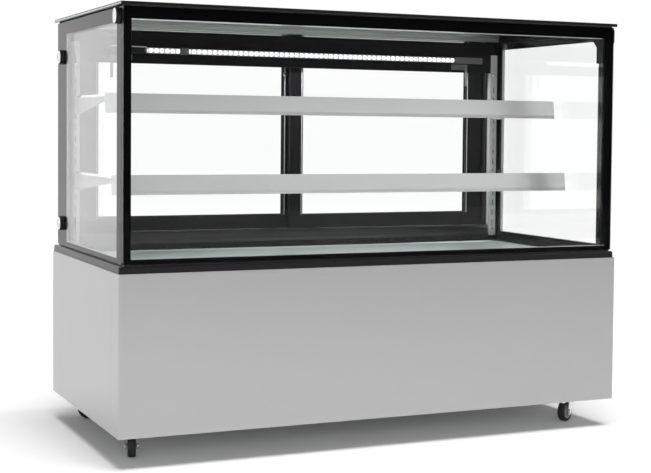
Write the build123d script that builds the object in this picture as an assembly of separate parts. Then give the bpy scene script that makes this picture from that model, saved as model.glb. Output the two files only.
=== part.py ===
from build123d import *
import math
import os

os.makedirs("parts", exist_ok=True)

# A refrigerated display counter. Millimetres. X runs along the front, the front faces -Y, Z is up,
# and the origin is on the floor under the middle of the counter.

# Whole counter
WIDTH = 1500.0
DEPTH = 740.0
BASE_BOTTOM = 82.0
BASE_TOP = 502.0
PLINTH_HEIGHT = 23.0
GLASS_TOP = 1178.0
LID_SEAL_HEIGHT = 3.0
LID_THICKNESS = 9.0
LID_SIDE_INSET = 4.0

# Sheet metal base
SHEET = 1.5
PANEL_FLANGE = 15.0
FRONT_RETURN = 76.0
PANEL_SEAM = 0.5
CORNER_RADIUS = 3.0
TUBE = 30.0
TUBE_WALL = 2.0
FLOOR_PLATE = 2.0
REAR_LOUVRE_COLUMNS = 2
REAR_LOUVRE_ROWS = 9
LOUVRE_LENGTH = 240.0
LOUVRE_HEIGHT = 8.0
LOUVRE_PITCH = 24.0
LOUVRE_HOOD_OUT = 6.0
LOUVRE_HOOD_DROP = 11.0
LOUVRE_ABOVE_FLOOR = 56.0
LOUVRE_CENTRE_X = 250.0

# Plinth under the glass
PLINTH_INSET = 2.0
PLINTH_EDGE_RADIUS = 6.0
PLINTH_CORNER_RADIUS = 10.0
SHADOW_STEP = 4.0
SHADOW_INSET = 5.0
WELL_OPENING_CLEARANCE = 1.0
REAR_BAND_DEPTH = 104.0

# Insulated glass
GLASS_SIDE_INSET = 12.0
GLASS_FRONT_INSET = 3.0
GLASS_REAR_INSET = 4.0
PANE = 5.0
AIR_GAP = 10.0
PRINT_THICKNESS = 0.5
EDGE_SEAL = 6.0
SPACER_WIDTH = 8.0
GLASS_JOINT = 0.5
GLASS_CORNER_RADIUS = 9.0
FRONT_BORDER_SIDE = 21.0
FRONT_BORDER_BOTTOM = 13.0
FRONT_BORDER_TOP = 31.0
SIDE_BORDER_FRONT = 50.0
SIDE_BORDER_REAR = 109.0
SIDE_BORDER_BOTTOM = 12.0
SIDE_BORDER_TOP = 36.0

# Glass fixings
CAP_RADIUS = 21.0
CAP_THICKNESS = 11.0
CAP_STUD_RADIUS = 5.0
CAP_HOLE_CLEARANCE = 0.3
CAP_FROM_REAR = 65.0
CAP_FROM_FRONT = 49.0
CAP_FROM_PLINTH = 64.0
CAP_FROM_TOP = 101.0
FRONT_CAP_FROM_TOP = 22.0
BRACKET_THICKNESS = 6.0
BRACKET_LEG_DOWN = 103.0
BRACKET_LEG_BACK = 96.0
BRACKET_LEG_WIDTH = 34.0
BRACKET_CHAMFER = 22.0

# Rear doorway
SILL_STEP_HEIGHT = 13.0
SILL_HEIGHT = 35.0
SILL_STEP = 6.0
SILL_EDGE_RADIUS = 3.0
JAMB_FACE = 34.0
JAMB_LEAF = 20.0
JAMB_DEPTH = 77.0
HEADER_HEIGHT = 9.5
HEADER_PLATE = 2.0
HEADER_LEAF = 3.0
TRACK_GROOVE_WIDTH = 8.0
TRACK_GROOVE_DEPTH = 8.0
DOOR_THICKNESS = 22.0
DOOR_STILE = 41.0
DOOR_END_STILE = 55.0
DOOR_BOTTOM_RAIL = 41.0
DOOR_TOP_RAIL = 6.0
DOOR_PANE = 4.0
DOOR_PANE_INSET = 3.0
DOOR_LIFT = 1.0
DOOR_HEAD_CLEARANCE = 2.0
NEAR_DOOR_FROM_REAR = 82.0
DOOR_SPACE = 6.0
FAR_DOOR_END_GAP = 5.0
NEAR_DOOR_END_GAP = 22.0
FAR_DOOR_PAST_MIDDLE = 7.0
HEADER_FIN_CLEARANCE = 1.2
HEADER_RIB_GROOVE = 3.0
GLIDE_LENGTH = 40.0
GLIDE_CLEARANCE = 0.5
GLIDE_LIFT = 0.3
GLIDE_FROM_END = 60.0
PULL_WIDTH = 18.0
PULL_HEIGHT = 150.0
PULL_DEPTH = 12.0
PULL_WALL = 2.0
PULL_FLANGE = 1.5

# Lighting
FASCIA_HEIGHT = 98.0
FASCIA_TOP_GAP = 6.5
FASCIA_FOLD = 8.0
TUBE_RADIUS = 8.0
TUBE_FROM_TOP = 75.0
TUBE_LEFT_GAP = 187.0
TUBE_RIGHT_GAP = 143.0
SHORT_TUBE_LENGTH = 109.0
TUBE_JOINT = 22.0
HOLDER_HEIGHT = 20.0
END_HOLDER = 102.0

# Shelving
UPRIGHT_WIDTH = 25.0
UPRIGHT_SIDE_GAP = 5.0
UPRIGHT_DEPTH = 21.0
UPRIGHT_WALL = 2.0
UPRIGHT_BELOW_TOP = 54.0
SLOT_HEIGHT = 19.0
SLOT_WIDTH = 3.5
SLOT_PITCH = 34.0
SLOT_FROM_FOOT = 41.0
SLOT_FROM_HEAD = 100.0
SCREW_FROM_FOOT = 22.0
SCREW_FROM_HEAD = 64.0
SHELF_END_GAP = 13.0
SHELF_REAR_GAP = 7.0
SHELF_GLASS = 6.0
LOWER_SHELF_ABOVE_DECK = 238.0
UPPER_SHELF_ABOVE_DECK = 458.0
LOWER_SHELF_DEPTH = 421.0
UPPER_SHELF_DEPTH = 353.0
RAIL_HEIGHT = 54.0
RAIL_LEAN = 8.0
RAIL_SKIN = 2.0
RAIL_LIP = 7.0
RAIL_ABOVE_SHELF = 3.0
BRACKET_SHEET = 3.0
BRACKET_ROOT = 46.0
BRACKET_TIP = 14.0
BRACKET_HOOK = 6.0
BRACKET_SHORT_OF_RAIL = 40.0

# Deck and cold well
DECK_SHEET = 1.5
WELL_WALL = 25.0
WELL_DEPTH = 172.0
WELL_SIDE_GAP = 5.0
WELL_REAR_GAP = 85.0
DECK_SLOT_LENGTH = 30.0
DECK_SLOT_WIDTH = 5.0
DECK_SLOT_PITCH = 42.0
DECK_SLOT_SIDE = 45.0
DECK_SLOT_IN = 26.0

# Cold side
COIL_LENGTH = 900.0
COIL_DEPTH = 110.0
COIL_HEIGHT = 90.0
COIL_Y = 110.0
COIL_FINS = 60
COIL_FIN_GAP = 12.0
COIL_CORE = 30.0
COIL_FOOT = 14.0
FAN_PLATE_Y = -80.0
FAN_PLATE_LENGTH = 560.0
FAN_PLATE_HEIGHT = 125.0
FAN_PLATE_SHEET = 2.0
EVAP_FAN_RADIUS = 52.0
EVAP_FAN_X = 150.0
EVAP_FAN_ABOVE_WELL = 65.0
FAN_TIP_CLEARANCE = 3.0
FAN_HUB_RADIUS = 16.0
FAN_HUB_LENGTH = 16.0
FAN_BLADES = 5
FAN_BLADE_SHEET = 1.6
FAN_BLADE_PITCH = 28.0
SHAFT_RADIUS = 3.0
SHAFT_CLEARANCE = 0.05
MOTOR_RADIUS = 19.0
MOTOR_LENGTH = 26.0
MOTOR_ARM = 8.0
FAN_MOTOR_GAP = 1.0

# Warm side
CONDENSER_X = 250.0
CONDENSER_LENGTH = 320.0
CONDENSER_DEPTH = 60.0
CONDENSER_HEIGHT = 200.0
CONDENSER_REAR_GAP = 34.0
CONDENSER_FINS = 36
CONDENSER_FIN_GAP = 6.5
CONDENSER_CORE = 20.0
SHROUD_DEPTH = 34.0
SHROUD_SHEET = 2.0
COND_FAN_RADIUS = 84.0
COMPRESSOR_X = -150.0
COMPRESSOR_Y = 120.0
COMPRESSOR_RADIUS = 78.0
COMPRESSOR_HEIGHT = 165.0
COMPRESSOR_CROWN = 45.0
COMPRESSOR_FOOT = 8.0
PIPE_RADIUS = 4.0
PIPE_BEND = 24.0
DRIER_RADIUS = 14.0
DRIER_LENGTH = 110.0
TRAY_X = -480.0
TRAY_Y = -40.0
TRAY_LENGTH = 300.0
TRAY_DEPTH = 220.0
TRAY_HEIGHT = 45.0
TRAY_WALL = 2.0
DRAIN_RADIUS = 10.0
DRAIN_WALL = 2.0
DRAIN_ABOVE_TRAY = 22.0
BOX_X = -560.0
BOX_LENGTH = 150.0
BOX_DEPTH = 70.0
BOX_HEIGHT = 110.0
BOX_BELOW_TOP = 142.0
GLAND_RADIUS = 9.0
GLAND_NUT_RADIUS = 13.0
GLAND_OUT = 9.0
GLAND_X = -560.0
GLAND_ABOVE_FLOOR = 156.0

# Controls on the rear
CONTROL_BELOW_TOP = 62.0
CONTROLLER_X = 540.0
CONTROLLER_WIDTH = 77.0
CONTROLLER_HEIGHT = 35.0
CONTROLLER_BODY_WIDTH = 71.0
CONTROLLER_BODY_HEIGHT = 29.0
CONTROLLER_BODY_DEPTH = 55.0
BEZEL = 3.0
DISPLAY_WIDTH = 34.0
DISPLAY_HEIGHT = 17.0
DISPLAY_DEPTH = 1.0
DISPLAY_SHIFT = 14.0
BUTTON_WIDTH = 8.0
BUTTON_HEIGHT = 6.0
BUTTON_TRAVEL = 1.2
BUTTON_OUT = 1.6
BUTTON_PITCH = 8.6
BUTTON_COLUMN = 24.0
BUTTON_CLEARANCE = 0.25
BUTTON_LENGTH = 6.0
SWITCH_XS = {"power_switch": 440.0, "light_switch": 400.0}
SWITCH_BEZEL_WIDTH = 22.0
SWITCH_BEZEL_HEIGHT = 30.0
SWITCH_BODY_DEPTH = 22.0
ROCKER_RADIUS = 9.0
ROCKER_WIDTH = 14.0
ROCKER_CLEARANCE = 0.3
ROCKER_TILT = 10.0
ROCKER_CROWN = 6.5
SCREW_RADIUS = 2.5
SCREW_HEAD_RADIUS = 4.5
SCREW_HEAD_HEIGHT = 2.5
SCREW_LENGTH = 12.0
SCREW_CLEARANCE = 0.1

# Casters
CASTER_PLATE = 64.0
CASTER_PLATE_SHEET = 3.0
CASTER_FROM_SIDE = 55.0
CASTER_FROM_FRONT = 112.0
CASTER_FROM_REAR = 39.0
CASTER_TURNS = {"front_left": -16.0, "front_right": 119.0, "rear_left": -85.0, "rear_right": 50.0}
RACE_RADIUS = 22.0
RACE_HEIGHT = 3.0
SWIVEL_GAP = 0.3
FORK_DISC_RADIUS = 23.0
FORK_DISC = 4.7
KING_PIN_RADIUS = 5.0
KING_PIN_HEAD = 8.0
KING_PIN_HEAD_HEIGHT = 2.3
TRAIL = 24.0
WHEEL_RADIUS = 30.0
TYRE_WIDTH = 22.0
HUB_WIDTH = 27.4
HUB_RADIUS = 7.0
RIM_RADIUS = 21.0
RIM_RECESS = 3.0
AXLE_RADIUS = 4.0
AXLE_CLEARANCE = 0.05
FORK_SHEET = 3.0
FORK_SIDE_GAP = 0.3
AXLE_NUT_RADIUS = 7.0
AXLE_NUT_HEIGHT = 3.0
PEDAL_PIVOT_BACK = 12.0
PEDAL_PIVOT_DROP = 9.0
PEDAL_SHEET = 3.0
PEDAL_END = 60.0
PEDAL_PIN_RADIUS = 2.0

# Worked out from the sizes above
HALF_W = WIDTH / 2
FRONT_Y = -DEPTH / 2
REAR_Y = DEPTH / 2
PLINTH_TOP = BASE_TOP + PLINTH_HEIGHT
FLOOR_TOP = BASE_BOTTOM + FLOOR_PLATE
FRAME_HALF_W = HALF_W - PANEL_FLANGE
FRAME_FRONT_Y = FRONT_Y + PANEL_FLANGE
FRAME_REAR_Y = REAR_Y - PANEL_FLANGE
GLASS_HALF_W = HALF_W - GLASS_SIDE_INSET
GLASS_FRONT_Y = FRONT_Y + GLASS_FRONT_INSET
GLASS_REAR_Y = REAR_Y - GLASS_REAR_INSET
UNIT = PANE + AIR_GAP + PANE
SIDE_INNER_X = GLASS_HALF_W - UNIT
SIDE_FRONT_Y = GLASS_FRONT_Y + UNIT + GLASS_JOINT
PRINT_X = GLASS_HALF_W - PANE - PRINT_THICKNESS
OPENING_HALF_W = SIDE_INNER_X - WELL_OPENING_CLEARANCE
OPENING_FRONT_Y = SIDE_FRONT_Y + WELL_OPENING_CLEARANCE
DECK_TOP = BASE_TOP + 2 * DECK_SHEET
REAR_BAND_FRONT_Y = GLASS_REAR_Y - REAR_BAND_DEPTH
JAMB_INNER_X = SIDE_INNER_X - JAMB_FACE
JAMB_FRONT_Y = GLASS_REAR_Y - JAMB_DEPTH
SILL_TOP = PLINTH_TOP + SILL_HEIGHT
HEADER_BOTTOM = GLASS_TOP - HEADER_HEIGHT
DOOR_BOTTOM = SILL_TOP + DOOR_LIFT
DOOR_TOP = GLASS_TOP - HEADER_PLATE - DOOR_HEAD_CLEARANCE
SILL_FRONT_Y = REAR_BAND_FRONT_Y + SILL_STEP
UPRIGHT_FRONT_Y = JAMB_FRONT_Y - UPRIGHT_DEPTH
UPRIGHT_OUTER_X = SIDE_INNER_X - UPRIGHT_SIDE_GAP
UPRIGHT_INNER_X = UPRIGHT_OUTER_X - UPRIGHT_WIDTH
LID_BOTTOM = GLASS_TOP + LID_SEAL_HEIGHT
PLATE_BOTTOM = BASE_BOTTOM - CASTER_PLATE_SHEET
PANEL_FACE_Y = FRAME_REAR_Y + SHEET
NEAR_DOOR_Y = GLASS_REAR_Y - NEAR_DOOR_FROM_REAR
FAR_DOOR_Y = NEAR_DOOR_Y + DOOR_THICKNESS + DOOR_SPACE
FAR_DOOR_LEFT_X = -JAMB_INNER_X + FAR_DOOR_END_GAP
DOOR_WIDTH = FAR_DOOR_PAST_MIDDLE - FAR_DOOR_LEFT_X
NEAR_DOOR_LEFT_X = JAMB_INNER_X - NEAR_DOOR_END_GAP - DOOR_WIDTH
PULL_CENTRE_Z = (DOOR_BOTTOM + DOOR_TOP) / 2
FASCIA_FRONT_Y = SILL_FRONT_Y
FASCIA_TOP_Z = HEADER_BOTTOM - FASCIA_TOP_GAP
TUBE_Z = GLASS_TOP - TUBE_FROM_TOP
UPRIGHT_TOP = GLASS_TOP - UPRIGHT_BELOW_TOP
SHELF_HALF_WIDTH = SIDE_INNER_X - SHELF_END_GAP
SHELF_REAR_Y = REAR_BAND_FRONT_Y - SHELF_REAR_GAP
WELL_FLOOR_Z = BASE_TOP - WELL_DEPTH
WELL_REAR_Y = FRAME_REAR_Y - TUBE - WELL_REAR_GAP
EVAP_FAN_Z = WELL_FLOOR_Z + WELL_WALL + EVAP_FAN_ABOVE_WELL
BOX_Z = BASE_TOP - BOX_BELOW_TOP
GLAND_Z = FLOOR_TOP + GLAND_ABOVE_FLOOR
CONTROL_Z = BASE_TOP - CONTROL_BELOW_TOP
CONDENSER_REAR_Y = FRAME_REAR_Y - CONDENSER_REAR_GAP
CONDENSER_FRONT_Y = CONDENSER_REAR_Y - CONDENSER_DEPTH
COND_FAN_Z = FLOOR_TOP + CONDENSER_HEIGHT / 2


def block(x0, x1, y0, y1, z0, z1):
    """A box between two corners."""
    return Pos((x0 + x1) / 2, (y0 + y1) / 2, (z0 + z1) / 2) * Box(x1 - x0, y1 - y0, z1 - z0)


def rod(radius, start, end):
    """A round bar between two points on one axis line."""
    a = Vector(*start)
    b = Vector(*end)
    plane = Plane(origin=a, z_dir=b - a)
    return plane * Pos(0, 0, (b - a).length / 2) * Cylinder(radius, (b - a).length)


def group(pieces):
    """Separate pieces that share one name."""
    return Compound(children=list(pieces))


def both_sides(piece):
    """A piece of the right-hand side and its mirror image on the left."""
    return group([piece, piece.mirror(Plane.YZ)])


def profile_along_x(points, x0, x1):
    """A closed outline in Y and Z, drawn out from x0 to x1."""
    outline = [Vector(x0, y, z) for y, z in points]
    face = make_face(Polyline(*outline, close=True))
    return extrude(face, amount=x1 - x0, dir=(1, 0, 0))


def save(name, shape):
    export_step(shape, "parts/" + name + ".step")


# Base
def base_front_panel():
    outer = block(-HALF_W, HALF_W, FRONT_Y, FRONT_Y + FRONT_RETURN, BASE_BOTTOM, BASE_TOP)
    corners = outer.edges().filter_by(Axis.Z).group_by(Axis.Y)[0]
    outer = fillet(corners, CORNER_RADIUS)
    hollow = block(-HALF_W + SHEET, HALF_W - SHEET, FRONT_Y + SHEET, REAR_Y,
                   BASE_BOTTOM + SHEET, BASE_TOP - SHEET)
    shell = outer - hollow
    through = block(-FRAME_HALF_W, FRAME_HALF_W, FRAME_FRONT_Y, REAR_Y, 0, LID_BOTTOM)
    return shell - through


def base_side_panel():
    front = FRONT_Y + FRONT_RETURN + PANEL_SEAM
    outer = block(FRAME_HALF_W, HALF_W, front, REAR_Y, BASE_BOTTOM, BASE_TOP)
    hollow = block(0, HALF_W - SHEET, front + SHEET, REAR_Y - SHEET, BASE_BOTTOM + SHEET,
                   BASE_TOP - SHEET)
    return outer - hollow


def base_floor_plate():
    return block(-FRAME_HALF_W, FRAME_HALF_W, FRAME_FRONT_Y, FRAME_REAR_Y, BASE_BOTTOM, FLOOR_TOP)


def chassis_frame():
    bars = []
    inner_x = FRAME_HALF_W - TUBE
    inner_front = FRAME_FRONT_Y + TUBE
    inner_rear = FRAME_REAR_Y - TUBE
    for low, high in ((FLOOR_TOP, FLOOR_TOP + TUBE), (BASE_TOP - TUBE, BASE_TOP)):
        for y0, y1 in ((FRAME_FRONT_Y, inner_front), (inner_rear, FRAME_REAR_Y)):
            rail = block(-inner_x, inner_x, y0, y1, low, high)
            bore = block(-inner_x, inner_x, y0 + TUBE_WALL, y1 - TUBE_WALL,
                         low + TUBE_WALL, high - TUBE_WALL)
            bars.append(rail - bore)
        for side in (-1, 1):
            x0, x1 = sorted((side * inner_x, side * FRAME_HALF_W))
            rail = block(x0, x1, inner_front, inner_rear, low, high)
            bore = block(x0 + TUBE_WALL, x1 - TUBE_WALL, inner_front, inner_rear,
                         low + TUBE_WALL, high - TUBE_WALL)
            bars.append(rail - bore)
    for side in (-1, 1):
        x0, x1 = sorted((side * inner_x, side * FRAME_HALF_W))
        for y0, y1 in ((FRAME_FRONT_Y, inner_front), (inner_rear, FRAME_REAR_Y)):
            post = block(x0, x1, y0, y1, FLOOR_TOP, BASE_TOP)
            bore = block(x0 + TUBE_WALL, x1 - TUBE_WALL, y0 + TUBE_WALL, y1 - TUBE_WALL,
                         FLOOR_TOP, BASE_TOP)
            bars.append(post - bore)
    holes = [rod(SCREW_RADIUS + SCREW_CLEARANCE, (x, FRAME_REAR_Y - TUBE / 2, z),
                 (x, FRAME_REAR_Y, z)) for x, z in rear_screw_places()]
    return group([bar - holes for bar in bars])


def rear_screw_places():
    x = FRAME_HALF_W - TUBE / 2
    low = FLOOR_TOP + TUBE / 2
    high = BASE_TOP - TUBE / 2
    places = [(side * x, z) for side in (-1, 1) for z in (low + TUBE, (low + high) / 2, high - TUBE)]
    places += [(side * x / 2, z) for side in (-1, 1) for z in (low, high)]
    return places


def rear_service_panel():
    panel = block(-FRAME_HALF_W, FRAME_HALF_W, FRAME_REAR_Y, PANEL_FACE_Y, BASE_BOTTOM + SHEET,
                  BASE_TOP - SHEET)
    cuts = [rod(SCREW_RADIUS + SCREW_CLEARANCE, (x, FRAME_REAR_Y, z), (x, PANEL_FACE_Y, z))
            for x, z in rear_screw_places()]
    cuts.append(rod(GLAND_RADIUS, (GLAND_X, FRAME_REAR_Y, GLAND_Z), (GLAND_X, PANEL_FACE_Y, GLAND_Z)))
    cuts.append(block(CONTROLLER_X - CONTROLLER_BODY_WIDTH / 2, CONTROLLER_X + CONTROLLER_BODY_WIDTH / 2,
                      FRAME_REAR_Y, PANEL_FACE_Y, CONTROL_Z - CONTROLLER_BODY_HEIGHT / 2,
                      CONTROL_Z + CONTROLLER_BODY_HEIGHT / 2))
    for x in SWITCH_XS.values():
        half_w, half_h = switch_body_half()
        cuts.append(block(x - half_w, x + half_w, FRAME_REAR_Y, PANEL_FACE_Y,
                          CONTROL_Z - half_h, CONTROL_Z + half_h))
    hoods = []
    for column in range(REAR_LOUVRE_COLUMNS):
        centre = LOUVRE_CENTRE_X * (2 * column - (REAR_LOUVRE_COLUMNS - 1))
        for row in range(REAR_LOUVRE_ROWS):
            z = FLOOR_TOP + LOUVRE_ABOVE_FLOOR + row * LOUVRE_PITCH
            left = centre - LOUVRE_LENGTH / 2
            right = centre + LOUVRE_LENGTH / 2
            cuts.append(block(left, right, FRAME_REAR_Y, PANEL_FACE_Y, z, z + LOUVRE_HEIGHT))
            face = PANEL_FACE_Y
            tip = face + LOUVRE_HOOD_OUT
            top = z + LOUVRE_HEIGHT
            hood = [(face - SHEET, top), (face, top + SHEET), (tip, top + SHEET - LOUVRE_HOOD_DROP),
                    (tip - SHEET, top + SHEET - LOUVRE_HOOD_DROP)]
            hoods.append(profile_along_x(hood, left, right))
    return panel - cuts + hoods


def switch_body_half():
    return ROCKER_WIDTH / 2 + ROCKER_CLEARANCE + SHEET, ROCKER_RADIUS + ROCKER_CLEARANCE + SHEET


def upright_screw_heights():
    low = PLINTH_TOP + SCREW_FROM_FOOT
    high = UPRIGHT_TOP - SCREW_FROM_HEAD
    return low, (low + high) / 2, high


def fixing_screws():
    screws = []
    for x, z in rear_screw_places():
        shank = rod(SCREW_RADIUS, (x, PANEL_FACE_Y - SCREW_LENGTH, z), (x, PANEL_FACE_Y, z))
        head = rod(SCREW_HEAD_RADIUS, (x, PANEL_FACE_Y, z), (x, PANEL_FACE_Y + SCREW_HEAD_HEIGHT, z))
        screws.append(shank + head)
    for side in (-1, 1):
        x = side * (UPRIGHT_INNER_X + UPRIGHT_WIDTH / 2)
        face = UPRIGHT_FRONT_Y
        for z in upright_screw_heights():
            shank = rod(SCREW_RADIUS, (x, face, z), (x, JAMB_FRONT_Y + SCREW_LENGTH, z))
            head = rod(SCREW_HEAD_RADIUS, (x, face - SCREW_HEAD_HEIGHT / 2, z), (x, face, z))
            screws.append(shank + head)
    return group(screws)


# Plinth, deck and cold well
def plinth_trim():
    half = HALF_W - PLINTH_INSET
    front = FRONT_Y + PLINTH_INSET
    ledge_top = PLINTH_TOP - SHADOW_STEP
    body = block(-half, half, front, GLASS_REAR_Y, BASE_TOP, ledge_top)
    corners = body.edges().filter_by(Axis.Z).group_by(Axis.Y)[0]
    body = fillet(corners, PLINTH_CORNER_RADIUS)
    rim = body.faces().sort_by(Axis.Z)[-1].edges().sort_by(Axis.Y)[:-1]
    body = fillet(rim, PLINTH_EDGE_RADIUS)
    curb = block(-GLASS_HALF_W + SHADOW_INSET, GLASS_HALF_W - SHADOW_INSET,
                 GLASS_FRONT_Y + SHADOW_INSET, GLASS_REAR_Y, ledge_top, PLINTH_TOP)
    opening = block(-OPENING_HALF_W, OPENING_HALF_W, OPENING_FRONT_Y, REAR_BAND_FRONT_Y,
                    BASE_TOP, PLINTH_TOP)
    return body + curb - opening


def display_deck():
    half = OPENING_HALF_W - WELL_OPENING_CLEARANCE
    deck = block(-half, half, OPENING_FRONT_Y + WELL_OPENING_CLEARANCE,
                 REAR_BAND_FRONT_Y - WELL_OPENING_CLEARANCE, DECK_TOP - DECK_SHEET, DECK_TOP)
    count = int(2 * (half - DECK_SLOT_SIDE) / DECK_SLOT_PITCH)
    slots = []
    for row_y in (OPENING_FRONT_Y + DECK_SLOT_IN, REAR_BAND_FRONT_Y - DECK_SLOT_IN):
        for step in range(count):
            x = (step - (count - 1) / 2) * DECK_SLOT_PITCH
            slots.append(block(x - DECK_SLOT_LENGTH / 2, x + DECK_SLOT_LENGTH / 2,
                               row_y - DECK_SLOT_WIDTH / 2, row_y + DECK_SLOT_WIDTH / 2,
                               DECK_TOP - DECK_SHEET, DECK_TOP))
    return deck - slots


def well_sides():
    half = FRAME_HALF_W - TUBE - WELL_SIDE_GAP
    return half, FRAME_FRONT_Y + TUBE + WELL_SIDE_GAP


def insulated_well():
    half, front = well_sides()
    tub = block(-half, half, front, WELL_REAR_Y, WELL_FLOOR_Z, BASE_TOP)
    rim = block(-OPENING_HALF_W + WELL_OPENING_CLEARANCE, OPENING_HALF_W - WELL_OPENING_CLEARANCE,
                OPENING_FRONT_Y + WELL_OPENING_CLEARANCE, REAR_BAND_FRONT_Y - WELL_OPENING_CLEARANCE,
                BASE_TOP, BASE_TOP + DECK_SHEET)
    hollow = block(-half + WELL_WALL, half - WELL_WALL, front + WELL_WALL, WELL_REAR_Y - WELL_WALL,
                   WELL_FLOOR_Z + WELL_WALL, BASE_TOP + DECK_SHEET)
    drain = rod(DRAIN_RADIUS, (TRAY_X, TRAY_Y, WELL_FLOOR_Z), (TRAY_X, TRAY_Y, WELL_FLOOR_Z + WELL_WALL))
    return tub + rim - hollow - drain


# Glass
def cap_places():
    rear = GLASS_REAR_Y - CAP_FROM_REAR
    return ((rear, PLINTH_TOP + CAP_FROM_PLINTH), (rear, GLASS_TOP - CAP_FROM_TOP),
            (GLASS_FRONT_Y + CAP_FROM_FRONT, GLASS_TOP - FRONT_CAP_FROM_TOP))


def stud_holes(x0, x1):
    radius = CAP_STUD_RADIUS + CAP_HOLE_CLEARANCE
    return [rod(radius, (x0, y, z), (x1, y, z)) for y, z in cap_places()]


def front_glass():
    outer = block(-GLASS_HALF_W, GLASS_HALF_W, GLASS_FRONT_Y, GLASS_FRONT_Y + PANE,
                  PLINTH_TOP, GLASS_TOP)
    corners = outer.edges().filter_by(Axis.Y).group_by(Axis.Z)[0]
    outer = fillet(corners, GLASS_CORNER_RADIUS)
    inner_y = GLASS_FRONT_Y + PANE + AIR_GAP
    inner = block(-GLASS_HALF_W, GLASS_HALF_W, inner_y, inner_y + PANE, PLINTH_TOP, GLASS_TOP)
    return group([outer, inner])


def side_glass():
    outer = block(GLASS_HALF_W - PANE, GLASS_HALF_W, SIDE_FRONT_Y, GLASS_REAR_Y, PLINTH_TOP, GLASS_TOP)
    outer = outer - stud_holes(GLASS_HALF_W - PANE, GLASS_HALF_W)
    inner = block(SIDE_INNER_X, SIDE_INNER_X + PANE, SIDE_FRONT_Y, REAR_BAND_FRONT_Y,
                  PLINTH_TOP, GLASS_TOP)
    inner = inner - stud_holes(SIDE_INNER_X, SIDE_INNER_X + PANE)
    return group([outer, inner, outer.mirror(Plane.YZ), inner.mirror(Plane.YZ)])


def glass_spacers():
    y0 = GLASS_FRONT_Y + PANE + PRINT_THICKNESS
    y1 = GLASS_FRONT_Y + PANE + AIR_GAP
    edge = EDGE_SEAL
    inside = EDGE_SEAL + SPACER_WIDTH
    ring = block(-GLASS_HALF_W + edge, GLASS_HALF_W - edge, y0, y1, PLINTH_TOP + edge, GLASS_TOP - edge)
    front = ring - block(-GLASS_HALF_W + inside, GLASS_HALF_W - inside, y0, y1,
                         PLINTH_TOP + inside, GLASS_TOP - inside)
    x0 = SIDE_INNER_X + PANE
    ring = block(x0, PRINT_X, SIDE_FRONT_Y + edge, REAR_BAND_FRONT_Y - edge,
                 PLINTH_TOP + edge, GLASS_TOP - edge)
    side = ring - block(x0, PRINT_X, SIDE_FRONT_Y + inside, REAR_BAND_FRONT_Y - inside,
                        PLINTH_TOP + inside, GLASS_TOP - inside)
    side = side - stud_holes(x0, PRINT_X)
    return group([front, side, side.mirror(Plane.YZ)])


def glass_borders():
    y0 = GLASS_FRONT_Y + PANE
    y1 = y0 + PRINT_THICKNESS
    y2 = GLASS_FRONT_Y + PANE + AIR_GAP
    film = block(-GLASS_HALF_W, GLASS_HALF_W, y0, y1, PLINTH_TOP, GLASS_TOP)
    film = film - block(-GLASS_HALF_W + FRONT_BORDER_SIDE, GLASS_HALF_W - FRONT_BORDER_SIDE, y0, y1,
                        PLINTH_TOP + FRONT_BORDER_BOTTOM, GLASS_TOP - FRONT_BORDER_TOP)
    seal = block(-GLASS_HALF_W, GLASS_HALF_W, y1, y2, PLINTH_TOP, GLASS_TOP)
    seal = seal - block(-GLASS_HALF_W + EDGE_SEAL, GLASS_HALF_W - EDGE_SEAL, y1, y2,
                        PLINTH_TOP + EDGE_SEAL, GLASS_TOP - EDGE_SEAL)
    front = film + seal
    corners = front.edges().filter_by(Axis.Y).group_by(Axis.Z)[0]
    front = fillet(corners, GLASS_CORNER_RADIUS)
    x1 = GLASS_HALF_W - PANE
    film = block(PRINT_X, x1, SIDE_FRONT_Y, GLASS_REAR_Y, PLINTH_TOP, GLASS_TOP)
    film = film - block(PRINT_X, x1, SIDE_FRONT_Y + SIDE_BORDER_FRONT, GLASS_REAR_Y - SIDE_BORDER_REAR,
                        PLINTH_TOP + SIDE_BORDER_BOTTOM, GLASS_TOP - SIDE_BORDER_TOP)
    x0 = SIDE_INNER_X + PANE
    seal = block(x0, PRINT_X, SIDE_FRONT_Y, REAR_BAND_FRONT_Y, PLINTH_TOP, GLASS_TOP)
    seal = seal - block(x0, PRINT_X, SIDE_FRONT_Y + EDGE_SEAL, REAR_BAND_FRONT_Y - EDGE_SEAL,
                        PLINTH_TOP + EDGE_SEAL, GLASS_TOP - EDGE_SEAL)
    side = film + seal - stud_holes(x0, x1)
    return group([front, side, side.mirror(Plane.YZ)])


def lid_glass():
    half = HALF_W - LID_SIDE_INSET
    lid = block(-half, half, FRONT_Y, REAR_Y, LID_BOTTOM, LID_BOTTOM + LID_THICKNESS)
    return chamfer(lid.edges(), 1.0)


def lid_seal():
    inset = SHADOW_INSET
    width = UNIT - 2 * inset
    ring = block(-GLASS_HALF_W + inset, GLASS_HALF_W - inset, GLASS_FRONT_Y + inset,
                 GLASS_REAR_Y - inset, GLASS_TOP, LID_BOTTOM)
    inner = inset + width
    return ring - block(-GLASS_HALF_W + inner, GLASS_HALF_W - inner, GLASS_FRONT_Y + inner,
                        GLASS_REAR_Y - inner, GLASS_TOP, LID_BOTTOM)


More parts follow.
